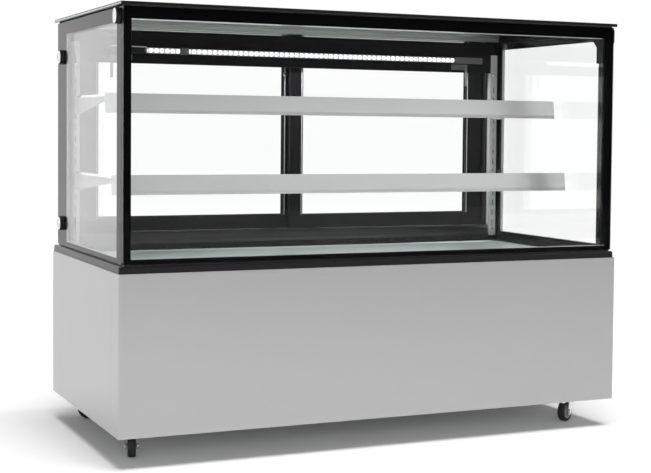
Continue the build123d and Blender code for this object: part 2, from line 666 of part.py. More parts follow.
def glass_corner_brackets():
    low = GLASS_TOP - BRACKET_LEG_DOWN
    back = SIDE_FRONT_Y + BRACKET_LEG_BACK
    in_y = SIDE_FRONT_Y + BRACKET_LEG_WIDTH
    in_z = GLASS_TOP - BRACKET_LEG_WIDTH
    points = [(SIDE_FRONT_Y, GLASS_TOP), (back, GLASS_TOP), (back, in_z), (in_y + BRACKET_CHAMFER, in_z),
              (in_y, in_z - BRACKET_CHAMFER), (in_y, low), (SIDE_FRONT_Y, low)]
    plate = profile_along_x(points, SIDE_INNER_X - BRACKET_THICKNESS, SIDE_INNER_X)
    plate = plate - stud_holes(SIDE_INNER_X - BRACKET_THICKNESS, SIDE_INNER_X)
    return both_sides(plate)


def glass_fixing_caps():
    caps = []
    for y, z in cap_places():
        disc = rod(CAP_RADIUS, (GLASS_HALF_W, y, z), (GLASS_HALF_W + CAP_THICKNESS, y, z))
        face = disc.edges().sort_by(Axis.X)[-1]
        disc = chamfer(face, 1.5)
        stud = rod(CAP_STUD_RADIUS, (SIDE_INNER_X - BRACKET_THICKNESS, y, z), (GLASS_HALF_W, y, z))
        caps.append(disc + stud)
    return group(caps + [cap.mirror(Plane.YZ) for cap in caps])


# Rear doorway
def door_centres_y():
    return (NEAR_DOOR_Y + DOOR_THICKNESS / 2, FAR_DOOR_Y + DOOR_THICKNESS / 2)


def lower_door_track():
    step = block(-JAMB_INNER_X, JAMB_INNER_X, REAR_BAND_FRONT_Y, GLASS_REAR_Y, PLINTH_TOP,
                 PLINTH_TOP + SILL_STEP_HEIGHT)
    step = fillet(step.edges().filter_by(Axis.X).sort_by(Axis.Y)[:2].sort_by(Axis.Z)[-1],
                  SILL_EDGE_RADIUS)
    upper = block(-JAMB_INNER_X, JAMB_INNER_X, SILL_FRONT_Y, GLASS_REAR_Y,
                  PLINTH_TOP + SILL_STEP_HEIGHT, SILL_TOP)
    upper = fillet(upper.edges().filter_by(Axis.X).sort_by(Axis.Y)[:2].sort_by(Axis.Z)[-1],
                   SILL_EDGE_RADIUS)
    grooves = [block(-JAMB_INNER_X, JAMB_INNER_X, y - TRACK_GROOVE_WIDTH / 2, y + TRACK_GROOVE_WIDTH / 2,
                     SILL_TOP - TRACK_GROOVE_DEPTH, SILL_TOP) for y in door_centres_y()]
    return step + upper - grooves


def upper_door_track():
    plate = block(-JAMB_INNER_X, JAMB_INNER_X, SILL_FRONT_Y, GLASS_REAR_Y, GLASS_TOP - HEADER_PLATE,
                  GLASS_TOP)
    nose = block(-SIDE_INNER_X, SIDE_INNER_X, SILL_FRONT_Y, NEAR_DOOR_Y - HEADER_RIB_GROOVE,
                 HEADER_BOTTOM, GLASS_TOP)
    leaf = block(-SIDE_INNER_X, SIDE_INNER_X, SILL_FRONT_Y, SILL_FRONT_Y + HEADER_LEAF,
                 HEADER_BOTTOM, LID_BOTTOM)
    near_rear = NEAR_DOOR_Y + DOOR_THICKNESS + HEADER_FIN_CLEARANCE
    far_front = FAR_DOOR_Y - HEADER_FIN_CLEARANCE
    far_rear = FAR_DOOR_Y + DOOR_THICKNESS + HEADER_RIB_GROOVE
    fins = [block(-JAMB_INNER_X, JAMB_INNER_X, y0, y1, HEADER_BOTTOM, GLASS_TOP - HEADER_PLATE)
            for y0, y1 in ((near_rear, far_front), (far_rear, GLASS_REAR_Y))]
    rib_z = (HEADER_BOTTOM + GLASS_TOP) / 2
    groove = block(-SIDE_INNER_X, SIDE_INNER_X, SILL_FRONT_Y, SILL_FRONT_Y + HEADER_RIB_GROOVE,
                   rib_z - HEADER_RIB_GROOVE / 2, rib_z + HEADER_RIB_GROOVE / 2)
    return plate + nose + leaf + fins - groove


def rear_jambs():
    web = block(JAMB_INNER_X, PRINT_X, JAMB_FRONT_Y, GLASS_REAR_Y, PLINTH_TOP, GLASS_TOP)
    leaf_front = FAR_DOOR_Y + DOOR_THICKNESS + HEADER_RIB_GROOVE
    leaf = block(JAMB_INNER_X - JAMB_LEAF, JAMB_INNER_X, leaf_front, GLASS_REAR_Y, SILL_TOP, HEADER_BOTTOM)
    ear = block(SIDE_INNER_X, PRINT_X, REAR_BAND_FRONT_Y, JAMB_FRONT_Y, PLINTH_TOP, GLASS_TOP)
    holes = stud_holes(SIDE_INNER_X - BRACKET_THICKNESS, PRINT_X)
    x = UPRIGHT_INNER_X + UPRIGHT_WIDTH / 2
    holes += [rod(SCREW_RADIUS + SCREW_CLEARANCE, (x, JAMB_FRONT_Y, z),
                  (x, JAMB_FRONT_Y + SCREW_LENGTH + 1, z)) for z in upright_screw_heights()]
    return both_sides(web + leaf + ear - holes)


def stile_widths(left):
    """The stile at the end of the doorway is wider than the one that meets the other door."""
    if left + DOOR_WIDTH > -left:
        return DOOR_STILE, DOOR_END_STILE
    return DOOR_END_STILE, DOOR_STILE


def door_frame(left, front):
    right = left + DOOR_WIDTH
    rear = front + DOOR_THICKNESS
    left_stile, right_stile = stile_widths(left)
    in_left = left + left_stile
    in_right = right - right_stile
    stiles = [block(left, in_left, front, rear, DOOR_BOTTOM, DOOR_TOP),
              block(in_right, right, front, rear, DOOR_BOTTOM, DOOR_TOP)]
    pocket = pull_pocket(left, front)
    rails = [block(in_left, in_right, front, rear, DOOR_BOTTOM, DOOR_BOTTOM + DOOR_BOTTOM_RAIL),
             block(in_left, in_right, front, rear, DOOR_TOP - DOOR_TOP_RAIL, DOOR_TOP)]
    return group([stile - pocket for stile in stiles] + rails)


def pull_centre_x(left):
    """The finger pull sits in the stile that is away from the middle of the doorway."""
    right = left + DOOR_WIDTH
    reach = JAMB_INNER_X - JAMB_LEAF
    if right > -left:
        return right - DOOR_END_STILE / 2
    return (left + DOOR_END_STILE - reach) / 2


def pull_pocket(left, front):
    x = pull_centre_x(left)
    rear = front + DOOR_THICKNESS
    return block(x - PULL_WIDTH / 2, x + PULL_WIDTH / 2, rear - PULL_DEPTH, rear,
                 PULL_CENTRE_Z - PULL_HEIGHT / 2, PULL_CENTRE_Z + PULL_HEIGHT / 2)


def door_glass(left, front):
    left_stile, right_stile = stile_widths(left)
    x0 = left + left_stile
    x1 = left + DOOR_WIDTH - right_stile
    z0 = DOOR_BOTTOM + DOOR_BOTTOM_RAIL
    z1 = DOOR_TOP - DOOR_TOP_RAIL
    y_front = front + DOOR_PANE_INSET
    y_rear = front + DOOR_THICKNESS - DOOR_PANE_INSET - DOOR_PANE
    return group([block(x0, x1, y, y + DOOR_PANE, z0, z1) for y in (y_front, y_rear)])


def door_fittings(left, front):
    x = pull_centre_x(left)
    rear = front + DOOR_THICKNESS
    cup = pull_pocket(left, front)
    lip = block(x - PULL_WIDTH / 2 - PULL_WALL, x + PULL_WIDTH / 2 + PULL_WALL, rear, rear + PULL_FLANGE,
                PULL_CENTRE_Z - PULL_HEIGHT / 2 - PULL_WALL, PULL_CENTRE_Z + PULL_HEIGHT / 2 + PULL_WALL)
    finger = block(x - PULL_WIDTH / 2 + PULL_WALL, x + PULL_WIDTH / 2 - PULL_WALL,
                   rear - PULL_DEPTH + PULL_WALL, rear + PULL_FLANGE,
                   PULL_CENTRE_Z - PULL_HEIGHT / 2 + PULL_WALL, PULL_CENTRE_Z + PULL_HEIGHT / 2 - PULL_WALL)
    pieces = [cup + lip - finger]
    y = front + DOOR_THICKNESS / 2
    half = TRACK_GROOVE_WIDTH / 2 - GLIDE_CLEARANCE
    groove_bottom = SILL_TOP - TRACK_GROOVE_DEPTH
    for end in (left + GLIDE_FROM_END, left + DOOR_WIDTH - GLIDE_FROM_END - GLIDE_LENGTH):
        pieces.append(block(end, end + GLIDE_LENGTH, y - half, y + half, groove_bottom + GLIDE_LIFT,
                            DOOR_BOTTOM))
    return group(pieces)


# Lighting
def light_fascia():
    top = FASCIA_TOP_Z
    bottom = FASCIA_TOP_Z - FASCIA_HEIGHT
    half = UPRIGHT_INNER_X
    plate = block(-half, half, FASCIA_FRONT_Y, FASCIA_FRONT_Y + SHEET, bottom, top)
    low = block(-half, half, FASCIA_FRONT_Y, FASCIA_FRONT_Y + FASCIA_FOLD, bottom, bottom + SHEET)
    high = block(-half, half, FASCIA_FRONT_Y, FASCIA_FRONT_Y + FASCIA_FOLD, top - SHEET, top)
    return plate + low + high


def tube_ends():
    """Where each of the two tubes starts and stops along the light board."""
    short_left = -UPRIGHT_INNER_X + TUBE_LEFT_GAP
    short_right = short_left + SHORT_TUBE_LENGTH
    return (short_left, short_right), (short_right + TUBE_JOINT, UPRIGHT_INNER_X - TUBE_RIGHT_GAP)


def led_tubes():
    y = FASCIA_FRONT_Y - TUBE_RADIUS
    return group([rod(TUBE_RADIUS, (x0, y, TUBE_Z), (x1, y, TUBE_Z)) for x0, x1 in tube_ends()])


def lamp_holders():
    y0 = FASCIA_FRONT_Y - 2 * TUBE_RADIUS
    z0 = TUBE_Z - HOLDER_HEIGHT / 2
    z1 = TUBE_Z + HOLDER_HEIGHT / 2
    (short_left, short_right), (long_left, long_right) = tube_ends()
    spans = ((short_left - END_HOLDER, short_left), (short_right, long_left),
             (long_right, long_right + END_HOLDER))
    return group([block(x0, x1, y0, FASCIA_FRONT_Y, z0, z1) for x0, x1 in spans])


# Shelves
def shelf_uprights():
    x0 = UPRIGHT_INNER_X
    x1 = UPRIGHT_OUTER_X
    post = block(x0, x1, UPRIGHT_FRONT_Y, JAMB_FRONT_Y, PLINTH_TOP, UPRIGHT_TOP)
    bore = block(x0 + UPRIGHT_WALL, x1 - UPRIGHT_WALL, UPRIGHT_FRONT_Y + UPRIGHT_WALL, JAMB_FRONT_Y,
                 PLINTH_TOP, UPRIGHT_TOP)
    x = (x0 + x1) / 2
    cuts = []
    first = PLINTH_TOP + SLOT_FROM_FOOT
    count = int((UPRIGHT_TOP - SLOT_FROM_HEAD - first) / SLOT_PITCH) + 1
    for step in range(count):
        z = first + step * SLOT_PITCH
        cuts.append(block(x - SLOT_WIDTH / 2, x + SLOT_WIDTH / 2, UPRIGHT_FRONT_Y,
                          UPRIGHT_FRONT_Y + UPRIGHT_WALL, z - SLOT_HEIGHT / 2, z + SLOT_HEIGHT / 2))
    cuts += [rod(SCREW_RADIUS + SCREW_CLEARANCE, (x, UPRIGHT_FRONT_Y, z),
                 (x, UPRIGHT_FRONT_Y + UPRIGHT_WALL, z)) for z in upright_screw_heights()]
    return both_sides(post - bore - cuts)


def shelf_levels():
    """The top of each shelf and the front of its rail."""
    return ((DECK_TOP + LOWER_SHELF_ABOVE_DECK, SHELF_REAR_Y - LOWER_SHELF_DEPTH),
            (DECK_TOP + UPPER_SHELF_ABOVE_DECK, SHELF_REAR_Y - UPPER_SHELF_DEPTH))


def shelf_brackets():
    x = UPRIGHT_INNER_X + UPRIGHT_WIDTH / 2
    arms = []
    for top, rail_y in shelf_levels():
        under = top - SHELF_GLASS
        tip = rail_y + BRACKET_SHORT_OF_RAIL
        points = [(UPRIGHT_FRONT_Y, under), (tip, under), (tip, under - BRACKET_TIP),
                  (UPRIGHT_FRONT_Y - BRACKET_ROOT, under - BRACKET_ROOT),
                  (UPRIGHT_FRONT_Y, under - BRACKET_ROOT)]
        arm = profile_along_x(points, x - BRACKET_SHEET / 2, x + BRACKET_SHEET / 2)
        arms.append(arm)
    return group(arms + [arm.mirror(Plane.YZ) for arm in arms])


def rail_lean_at(height):
    return RAIL_LEAN * height / RAIL_HEIGHT


def shelf_glass():
    panes = []
    for top, rail_y in shelf_levels():
        under = RAIL_HEIGHT - RAIL_ABOVE_SHELF - SHELF_GLASS
        front = rail_y + rail_lean_at(under) + 2 * RAIL_SKIN
        panes.append(block(-SHELF_HALF_WIDTH, SHELF_HALF_WIDTH, front, SHELF_REAR_Y, top - SHELF_GLASS, top))
    return group(panes)


def shelf_rails():
    rails = []
    for top, rail_y in shelf_levels():
        low = top + RAIL_ABOVE_SHELF - RAIL_HEIGHT
        high = top + RAIL_ABOVE_SHELF
        lean = RAIL_LEAN
        skin = RAIL_SKIN
        lip = RAIL_LIP
        seat = top - SHELF_GLASS
        seat_y = rail_y + rail_lean_at(seat - low) + 2 * skin
        face = [(rail_y, low), (rail_y + 3 * skin, low), (rail_y + 3 * skin, low + skin),
                (rail_y + 2 * skin, low + skin), (rail_y + 2 * skin + rail_lean_at(lip), low + lip),
                (seat_y, seat - 2 * skin), (seat_y + 6 * skin, seat - 2 * skin),
                (seat_y + 6 * skin, seat), (seat_y, seat),
                (seat_y + rail_lean_at(SHELF_GLASS) - skin / 2, high), (rail_y + lean, high),
                (rail_y + rail_lean_at(lip + skin) - skin / 4, low + lip + skin),
                (rail_y + rail_lean_at(lip) + skin / 2, low + lip + skin),
                (rail_y + rail_lean_at(lip) + skin / 2, low + lip), (rail_y, low + lip)]
        rails.append(profile_along_x(face, -SHELF_HALF_WIDTH, SHELF_HALF_WIDTH))
    return group(rails)


# Cold side
def finned_coil(x, y0, y1, z0, z1, length, core, fins, gap):
    """A core of tubes under a stack of fins, cut in from both faces."""
    coil = block(x - length / 2, x + length / 2, y0, y1, z0, z1)
    pitch = length / fins
    cut_depth = (y1 - y0 - core) / 2
    cuts = []
    for step in range(fins):
        left = x - length / 2 + (step + 0.5) * pitch - gap / 2
        cuts.append(block(left, left + gap, y0, y0 + cut_depth, z0, z1))
        cuts.append(block(left, left + gap, y1 - cut_depth, y1, z0, z1))
    return coil - cuts


def evaporator_coil():
    floor = WELL_FLOOR_Z + WELL_WALL
    low = floor + COIL_FOOT
    coil = finned_coil(0, COIL_Y - COIL_DEPTH / 2, COIL_Y + COIL_DEPTH / 2, low, low + COIL_HEIGHT,
                       COIL_LENGTH, COIL_CORE, COIL_FINS, COIL_FIN_GAP)
    feet = [block(side * COIL_LENGTH / 2 - COIL_FOOT * (side > 0), side * COIL_LENGTH / 2
                  + COIL_FOOT * (side < 0), COIL_Y - COIL_CORE / 2, COIL_Y + COIL_CORE / 2, floor, low)
            for side in (-1, 1)]
    coil = coil + feet
    plate = block(-FAN_PLATE_LENGTH / 2, FAN_PLATE_LENGTH / 2, FAN_PLATE_Y, FAN_PLATE_Y + FAN_PLATE_SHEET,
                  floor, floor + FAN_PLATE_HEIGHT)
    for side in (-1, 1):
        plate = plate - rod(EVAP_FAN_RADIUS + FAN_TIP_CLEARANCE,
                            (side * EVAP_FAN_X, FAN_PLATE_Y, EVAP_FAN_Z),
                            (side * EVAP_FAN_X, FAN_PLATE_Y + FAN_PLATE_SHEET, EVAP_FAN_Z))
    for side in (-1, 1):
        plate = plate + fan_motor(side * EVAP_FAN_X, FAN_PLATE_Y, EVAP_FAN_Z, EVAP_FAN_RADIUS, 1)
    return group([coil, plate])


def fan_motor(x, plate_y, z, fan_radius, way):
    """A motor on a cross of arms behind its plate, with a shaft through to the fan."""
    arm_y = plate_y + way * (FAN_HUB_LENGTH + FAN_MOTOR_GAP)
    reach = fan_radius + FAN_TIP_CLEARANCE + MOTOR_ARM
    arm = MOTOR_ARM / 2
    near, far = sorted((arm_y, arm_y + way * FAN_PLATE_SHEET))
    pieces = block(x - reach, x + reach, near, far, z - arm, z + arm)
    for side in (-1, 1):
        near, far = sorted((plate_y, arm_y + way * FAN_PLATE_SHEET))
        x0, x1 = sorted((x + side * (reach - FAN_PLATE_SHEET), x + side * reach))
        pieces = pieces + block(x0, x1, near, far, z - arm, z + arm)
    pieces = pieces + rod(MOTOR_RADIUS, (x, arm_y, z), (x, arm_y + way * MOTOR_LENGTH, z))
    return pieces + rod(SHAFT_RADIUS, (x, plate_y, z), (x, arm_y, z))


def axial_fan(x, plate_y, z, radius, way):
    """A hub with pitched blades, in the mouth of its plate."""
    y0 = plate_y
    y1 = plate_y + way * FAN_HUB_LENGTH
    fan = rod(FAN_HUB_RADIUS, (x, y0, z), (x, y1, z))
    span = radius - FAN_HUB_RADIUS + 3
    for step in range(FAN_BLADES):
        chord = FAN_HUB_LENGTH - 3
        blade = Pos(0, 0, radius - span / 2) * Rot(0, 0, FAN_BLADE_PITCH) * Box(
            chord * 1.8, FAN_BLADE_SHEET, span)
        fan = fan + Pos(x, (y0 + y1) / 2, z) * Rot(0, step * 360 / FAN_BLADES, 0) * blade
    disc = rod(radius, (x, y0, z), (x, y1, z))
    return (fan & disc) - rod(SHAFT_RADIUS + SHAFT_CLEARANCE, (x, y0, z), (x, y1, z))


# Warm side
def condenser_coil():
    low = FLOOR_TOP
    high = low + CONDENSER_HEIGHT
    coil = finned_coil(CONDENSER_X, CONDENSER_FRONT_Y, CONDENSER_REAR_Y, low, high, CONDENSER_LENGTH,
                       CONDENSER_CORE, CONDENSER_FINS, CONDENSER_FIN_GAP)
    left = CONDENSER_X - CONDENSER_LENGTH / 2
    right = CONDENSER_X + CONDENSER_LENGTH / 2
    mouth = CONDENSER_FRONT_Y - SHROUD_DEPTH
    shroud = block(left, right, mouth, CONDENSER_FRONT_Y, low, high)
    shroud = shroud - block(left + SHROUD_SHEET, right - SHROUD_SHEET, mouth + SHROUD_SHEET,
                            CONDENSER_FRONT_Y, low + SHROUD_SHEET, high - SHROUD_SHEET)
    shroud = shroud - rod(COND_FAN_RADIUS + FAN_TIP_CLEARANCE, (CONDENSER_X, mouth, COND_FAN_Z),
                          (CONDENSER_X, mouth + SHROUD_SHEET, COND_FAN_Z))
    motor = fan_motor(CONDENSER_X, mouth, COND_FAN_Z, COND_FAN_RADIUS, -1)
    return group([coil, shroud + motor])


def compressor():
    body = rod(COMPRESSOR_RADIUS, (COMPRESSOR_X, COMPRESSOR_Y, FLOOR_TOP + COMPRESSOR_FOOT),
               (COMPRESSOR_X, COMPRESSOR_Y, FLOOR_TOP + COMPRESSOR_FOOT + COMPRESSOR_HEIGHT))
    body = fillet(body.edges().sort_by(Axis.Z)[-1], COMPRESSOR_CROWN)
    reach = COMPRESSOR_RADIUS + 12
    base = block(COMPRESSOR_X - reach, COMPRESSOR_X + reach, COMPRESSOR_Y - reach / 2,
                 COMPRESSOR_Y + reach / 2, FLOOR_TOP + COMPRESSOR_FOOT / 2, FLOOR_TOP + COMPRESSOR_FOOT)
    feet = [rod(COMPRESSOR_FOOT, (COMPRESSOR_X + sx * (reach - 12), COMPRESSOR_Y + sy * (reach / 2 - 12),
                                  FLOOR_TOP),
                (COMPRESSOR_X + sx * (reach - 12), COMPRESSOR_Y + sy * (reach / 2 - 12),
                 FLOOR_TOP + COMPRESSOR_FOOT / 2)) for sx in (-1, 1) for sy in (-1, 1)]
    terminal = block(COMPRESSOR_X - COMPRESSOR_RADIUS - 22, COMPRESSOR_X - COMPRESSOR_RADIUS + 20,
                     COMPRESSOR_Y - 30, COMPRESSOR_Y + 30, FLOOR_TOP + 60, FLOOR_TOP + 120)
    return body + base + feet + terminal


def pipe(points):
    """A copper pipe with even bends."""
    path = FilletPolyline(*points, radius=PIPE_BEND)
    start = path @ 0
    section = Plane(origin=start, z_dir=path % 0) * Circle(PIPE_RADIUS)
    return sweep(section, path=path)


def refrigerant_pipes():
    top = FLOOR_TOP + COMPRESSOR_FOOT + COMPRESSOR_HEIGHT
    run_z = WELL_FLOOR_Z - 30
    left = CONDENSER_X - CONDENSER_LENGTH / 2
    mid_y = (CONDENSER_FRONT_Y + CONDENSER_REAR_Y) / 2
    discharge = pipe([(COMPRESSOR_X, COMPRESSOR_Y, top), (COMPRESSOR_X, COMPRESSOR_Y, run_z),
                      (left - 70, COMPRESSOR_Y, run_z), (left - 70, mid_y, run_z - 60),
                      (left, mid_y, run_z - 60)])
    drier_z = FLOOR_TOP + 40
    liquid = pipe([(left, mid_y, drier_z), (left - 60, mid_y, drier_z), (left - 60, mid_y, drier_z + 60)])
    drier_low = drier_z + 60
    drier = rod(DRIER_RADIUS, (left - 60, mid_y, drier_low), (left - 60, mid_y, drier_low + DRIER_LENGTH))
    drier = chamfer(drier.edges(), DRIER_RADIUS / 2)
    return group([discharge, liquid, drier])


def condensate_tray():
    x0 = TRAY_X - TRAY_LENGTH / 2
    x1 = TRAY_X + TRAY_LENGTH / 2
    y0 = TRAY_Y - TRAY_DEPTH / 2
    y1 = TRAY_Y + TRAY_DEPTH / 2
    top = FLOOR_TOP + TRAY_HEIGHT
    tray = block(x0, x1, y0, y1, FLOOR_TOP, top)
    tray = tray - block(x0 + TRAY_WALL, x1 - TRAY_WALL, y0 + TRAY_WALL, y1 - TRAY_WALL,
                        FLOOR_TOP + TRAY_WALL, top)
    drain_top = WELL_FLOOR_Z + WELL_WALL
    drain = rod(DRAIN_RADIUS, (TRAY_X, TRAY_Y, FLOOR_TOP + DRAIN_ABOVE_TRAY), (TRAY_X, TRAY_Y, drain_top))
    drain = drain - rod(DRAIN_RADIUS - DRAIN_WALL, (TRAY_X, TRAY_Y, FLOOR_TOP + DRAIN_ABOVE_TRAY),
                        (TRAY_X, TRAY_Y, drain_top))
    return group([tray, drain])


def electrical_box():
    y1 = FRAME_REAR_Y
    box = block(BOX_X - BOX_LENGTH / 2, BOX_X + BOX_LENGTH / 2, y1 - BOX_DEPTH, y1, BOX_Z, BOX_Z + BOX_HEIGHT)
    box = fillet(box.edges().filter_by(Axis.Y), 6)
    gland = rod(GLAND_RADIUS, (GLAND_X, y1 - 14, GLAND_Z), (GLAND_X, PANEL_FACE_Y + GLAND_OUT, GLAND_Z))
    nut = RegularPolygon(GLAND_NUT_RADIUS, 6)
    outer_nut = extrude(Plane(origin=(GLAND_X, PANEL_FACE_Y, GLAND_Z), z_dir=(0, 1, 0)) * nut,
                        amount=GLAND_OUT / 2)
    gland = gland + outer_nut - rod(GLAND_RADIUS / 2, (GLAND_X, y1 - 14, GLAND_Z),
                                    (GLAND_X, PANEL_FACE_Y + GLAND_OUT, GLAND_Z))
    return group([box, gland])


# Controls
def button_places():
    x = CONTROLLER_X - BUTTON_COLUMN
    return {"up_button": (x, CONTROL_Z + BUTTON_PITCH), "set_button": (x, CONTROL_Z),
            "down_button": (x, CONTROL_Z - BUTTON_PITCH)}


def control_housings():
    face = PANEL_FACE_Y + BEZEL
    body = block(CONTROLLER_X - CONTROLLER_BODY_WIDTH / 2, CONTROLLER_X + CONTROLLER_BODY_WIDTH / 2,
                 PANEL_FACE_Y - CONTROLLER_BODY_DEPTH, PANEL_FACE_Y,
                 CONTROL_Z - CONTROLLER_BODY_HEIGHT / 2, CONTROL_Z + CONTROLLER_BODY_HEIGHT / 2)
    bezel = block(CONTROLLER_X - CONTROLLER_WIDTH / 2, CONTROLLER_X + CONTROLLER_WIDTH / 2, PANEL_FACE_Y,
                  face, CONTROL_Z - CONTROLLER_HEIGHT / 2, CONTROL_Z + CONTROLLER_HEIGHT / 2)
    bezel = fillet(bezel.edges().filter_by(Axis.Y), 3)
    display_x = CONTROLLER_X + DISPLAY_SHIFT
    window = block(display_x - DISPLAY_WIDTH / 2, display_x + DISPLAY_WIDTH / 2, face - DISPLAY_DEPTH, face,
                   CONTROL_Z - DISPLAY_HEIGHT / 2, CONTROL_Z + DISPLAY_HEIGHT / 2)
    wells = []
    for x, z in button_places().values():
        half_w = BUTTON_WIDTH / 2 + BUTTON_CLEARANCE
        half_h = BUTTON_HEIGHT / 2 + BUTTON_CLEARANCE
        depth = BUTTON_LENGTH - BUTTON_OUT + BUTTON_TRAVEL + BUTTON_CLEARANCE
        wells.append(block(x - half_w, x + half_w, face - depth, face, z - half_h, z + half_h))
    pieces = [body + bezel - window - wells]
    for x in SWITCH_XS.values():
        half_w, half_h = switch_body_half()
        housing = block(x - half_w, x + half_w, PANEL_FACE_Y - SWITCH_BODY_DEPTH, PANEL_FACE_Y,
                        CONTROL_Z - half_h, CONTROL_Z + half_h)
        rim = block(x - SWITCH_BEZEL_WIDTH / 2, x + SWITCH_BEZEL_WIDTH / 2, PANEL_FACE_Y, face,
                    CONTROL_Z - SWITCH_BEZEL_HEIGHT / 2, CONTROL_Z + SWITCH_BEZEL_HEIGHT / 2)
        half = ROCKER_WIDTH / 2 + ROCKER_CLEARANCE
        radius = ROCKER_RADIUS + ROCKER_CLEARANCE
        well = rod(radius, (x - half, PANEL_FACE_Y, CONTROL_Z), (x + half, PANEL_FACE_Y, CONTROL_Z))
        mouth = block(x - half, x + half, PANEL_FACE_Y, face, CONTROL_Z - radius, CONTROL_Z + radius)
        pins = rod(SHAFT_RADIUS / 2, (x - half_w, PANEL_FACE_Y, CONTROL_Z),
                   (x + half_w, PANEL_FACE_Y, CONTROL_Z))
        pieces.append(housing + rim - well - mouth + pins)
    return group(pieces)


def controller_button(x, z):
    face = PANEL_FACE_Y + BEZEL
    button = block(x - BUTTON_WIDTH / 2, x + BUTTON_WIDTH / 2, face + BUTTON_OUT - BUTTON_LENGTH,
                   face + BUTTON_OUT, z - BUTTON_HEIGHT / 2, z + BUTTON_HEIGHT / 2)
    outer = button.faces().sort_by(Axis.Y)[-1]
    return chamfer(outer.edges(), 0.5)


def rocker(x):
    """A rocker on its pin, resting with its upper half pressed in."""
    half = ROCKER_WIDTH / 2
    drum = rod(ROCKER_RADIUS, (x - half, 0, 0), (x + half, 0, 0))
    slope = ROCKER_RADIUS * math.tan(math.radians(ROCKER_TILT))
    far = -2 * ROCKER_RADIUS
    points = [(far, -ROCKER_RADIUS), (ROCKER_CROWN, -ROCKER_RADIUS), (ROCKER_CROWN - slope, 0),
              (ROCKER_CROWN, ROCKER_RADIUS), (far, ROCKER_RADIUS)]
    cap = drum & profile_along_x(points, x - half, x + half)
    cap = cap - rod(SHAFT_RADIUS / 2 + SHAFT_CLEARANCE, (x - half, 0, 0), (x + half, 0, 0))
    return Pos(0, PANEL_FACE_Y, CONTROL_Z) * Rot(ROCKER_TILT, 0, 0) * cap


# Casters, drawn with the king pin at x = y = 0 and the wheel trailing towards +Y
def caster_plate():
    half = CASTER_PLATE / 2
    plate = block(-half, half, -half, half, PLATE_BOTTOM, BASE_BOTTOM)
    plate = fillet(plate.edges().filter_by(Axis.Z), 5)
    race_low = PLATE_BOTTOM - RACE_HEIGHT
    race = rod(RACE_RADIUS, (0, 0, race_low), (0, 0, PLATE_BOTTOM))
    head_top = race_low - 2 * SWIVEL_GAP - FORK_DISC
    pin = rod(KING_PIN_RADIUS, (0, 0, head_top), (0, 0, race_low))
    head = rod(KING_PIN_HEAD, (0, 0, head_top - KING_PIN_HEAD_HEIGHT), (0, 0, head_top))
    return plate + race + pin + head


def fork_inner_half():
    return HUB_WIDTH / 2 + FORK_SIDE_GAP


def pedal_pivot():
    return PEDAL_PIVOT_BACK, fork_disc_bottom() - PEDAL_PIVOT_DROP


def fork_disc_bottom():
    return PLATE_BOTTOM - RACE_HEIGHT - SWIVEL_GAP - FORK_DISC


def caster_fork():
    low = fork_disc_bottom()
    disc = rod(FORK_DISC_RADIUS, (0, 0, low), (0, 0, low + FORK_DISC))
    inner = fork_inner_half()
    reach = math.sqrt(FORK_DISC_RADIUS ** 2 - (inner + FORK_SHEET) ** 2)
    boss = AXLE_NUT_RADIUS + 3
    points = [(-reach, low + FORK_DISC), (reach + 4, low + FORK_DISC), (reach + 10, low - 6),
              (TRAIL + boss, WHEEL_RADIUS + 2), (TRAIL + boss, WHEEL_RADIUS), (TRAIL - boss, WHEEL_RADIUS),
              (TRAIL - boss, WHEEL_RADIUS + 2), (-reach, low - 4)]
    fork = disc
    for side in (-1, 1):
        x0, x1 = sorted((side * inner, side * (inner + FORK_SHEET)))
        leg = profile_along_x(points, x0, x1)
        leg = leg + rod(boss, (x0, TRAIL, WHEEL_RADIUS), (x1, TRAIL, WHEEL_RADIUS))
        nut_end = side * (inner + FORK_SHEET + AXLE_NUT_HEIGHT)
        nut = rod(AXLE_NUT_RADIUS, (side * inner, TRAIL, WHEEL_RADIUS), (nut_end, TRAIL, WHEEL_RADIUS))
        fork = fork + leg + nut
    axle = rod(AXLE_RADIUS, (-inner, TRAIL, WHEEL_RADIUS), (inner, TRAIL, WHEEL_RADIUS))
    bore = rod(KING_PIN_RADIUS + SHAFT_CLEARANCE, (0, 0, low), (0, 0, low + FORK_DISC))
    y, z = pedal_pivot()
    pivot = rod(PEDAL_PIN_RADIUS + SHAFT_CLEARANCE, (-inner - FORK_SHEET, y, z), (inner + FORK_SHEET, y, z))
    return fork + axle - bore - pivot


def caster_wheel():
    centre = (TRAIL, WHEEL_RADIUS)
    tyre = rod(WHEEL_RADIUS, (-TYRE_WIDTH / 2, *centre), (TYRE_WIDTH / 2, *centre))
    tyre = fillet(tyre.edges(), 4)
    for side in (-1, 1):
        tyre = tyre - rod(RIM_RADIUS, (side * TYRE_WIDTH / 2, *centre),
                          (side * (TYRE_WIDTH / 2 - RIM_RECESS), *centre))
    hub = rod(HUB_RADIUS, (-HUB_WIDTH / 2, *centre), (HUB_WIDTH / 2, *centre))
    return tyre + hub - rod(AXLE_RADIUS + AXLE_CLEARANCE, (-HUB_WIDTH, *centre), (HUB_WIDTH, *centre))


def brake_pedal():
    y, z = pedal_pivot()
    inner = fork_inner_half() - FORK_SIDE_GAP
    half = PEDAL_SHEET / 2
    plate = block(-inner, inner, y, PEDAL_END, z - half, z + half)
    plate = plate + rod(PEDAL_PIN_RADIUS + 1.5, (-inner, y, z), (inner, y, z))
    pad = block(-inner - 3, inner + 3, PEDAL_END - 10, PEDAL_END + 4, z - half, z + half + 2)
    trunnion = rod(PEDAL_PIN_RADIUS, (-inner - FORK_SHEET, y, z), (inner + FORK_SHEET, y, z))
    return plate + fillet(pad.edges().filter_by(Axis.Z), 4) + trunnion


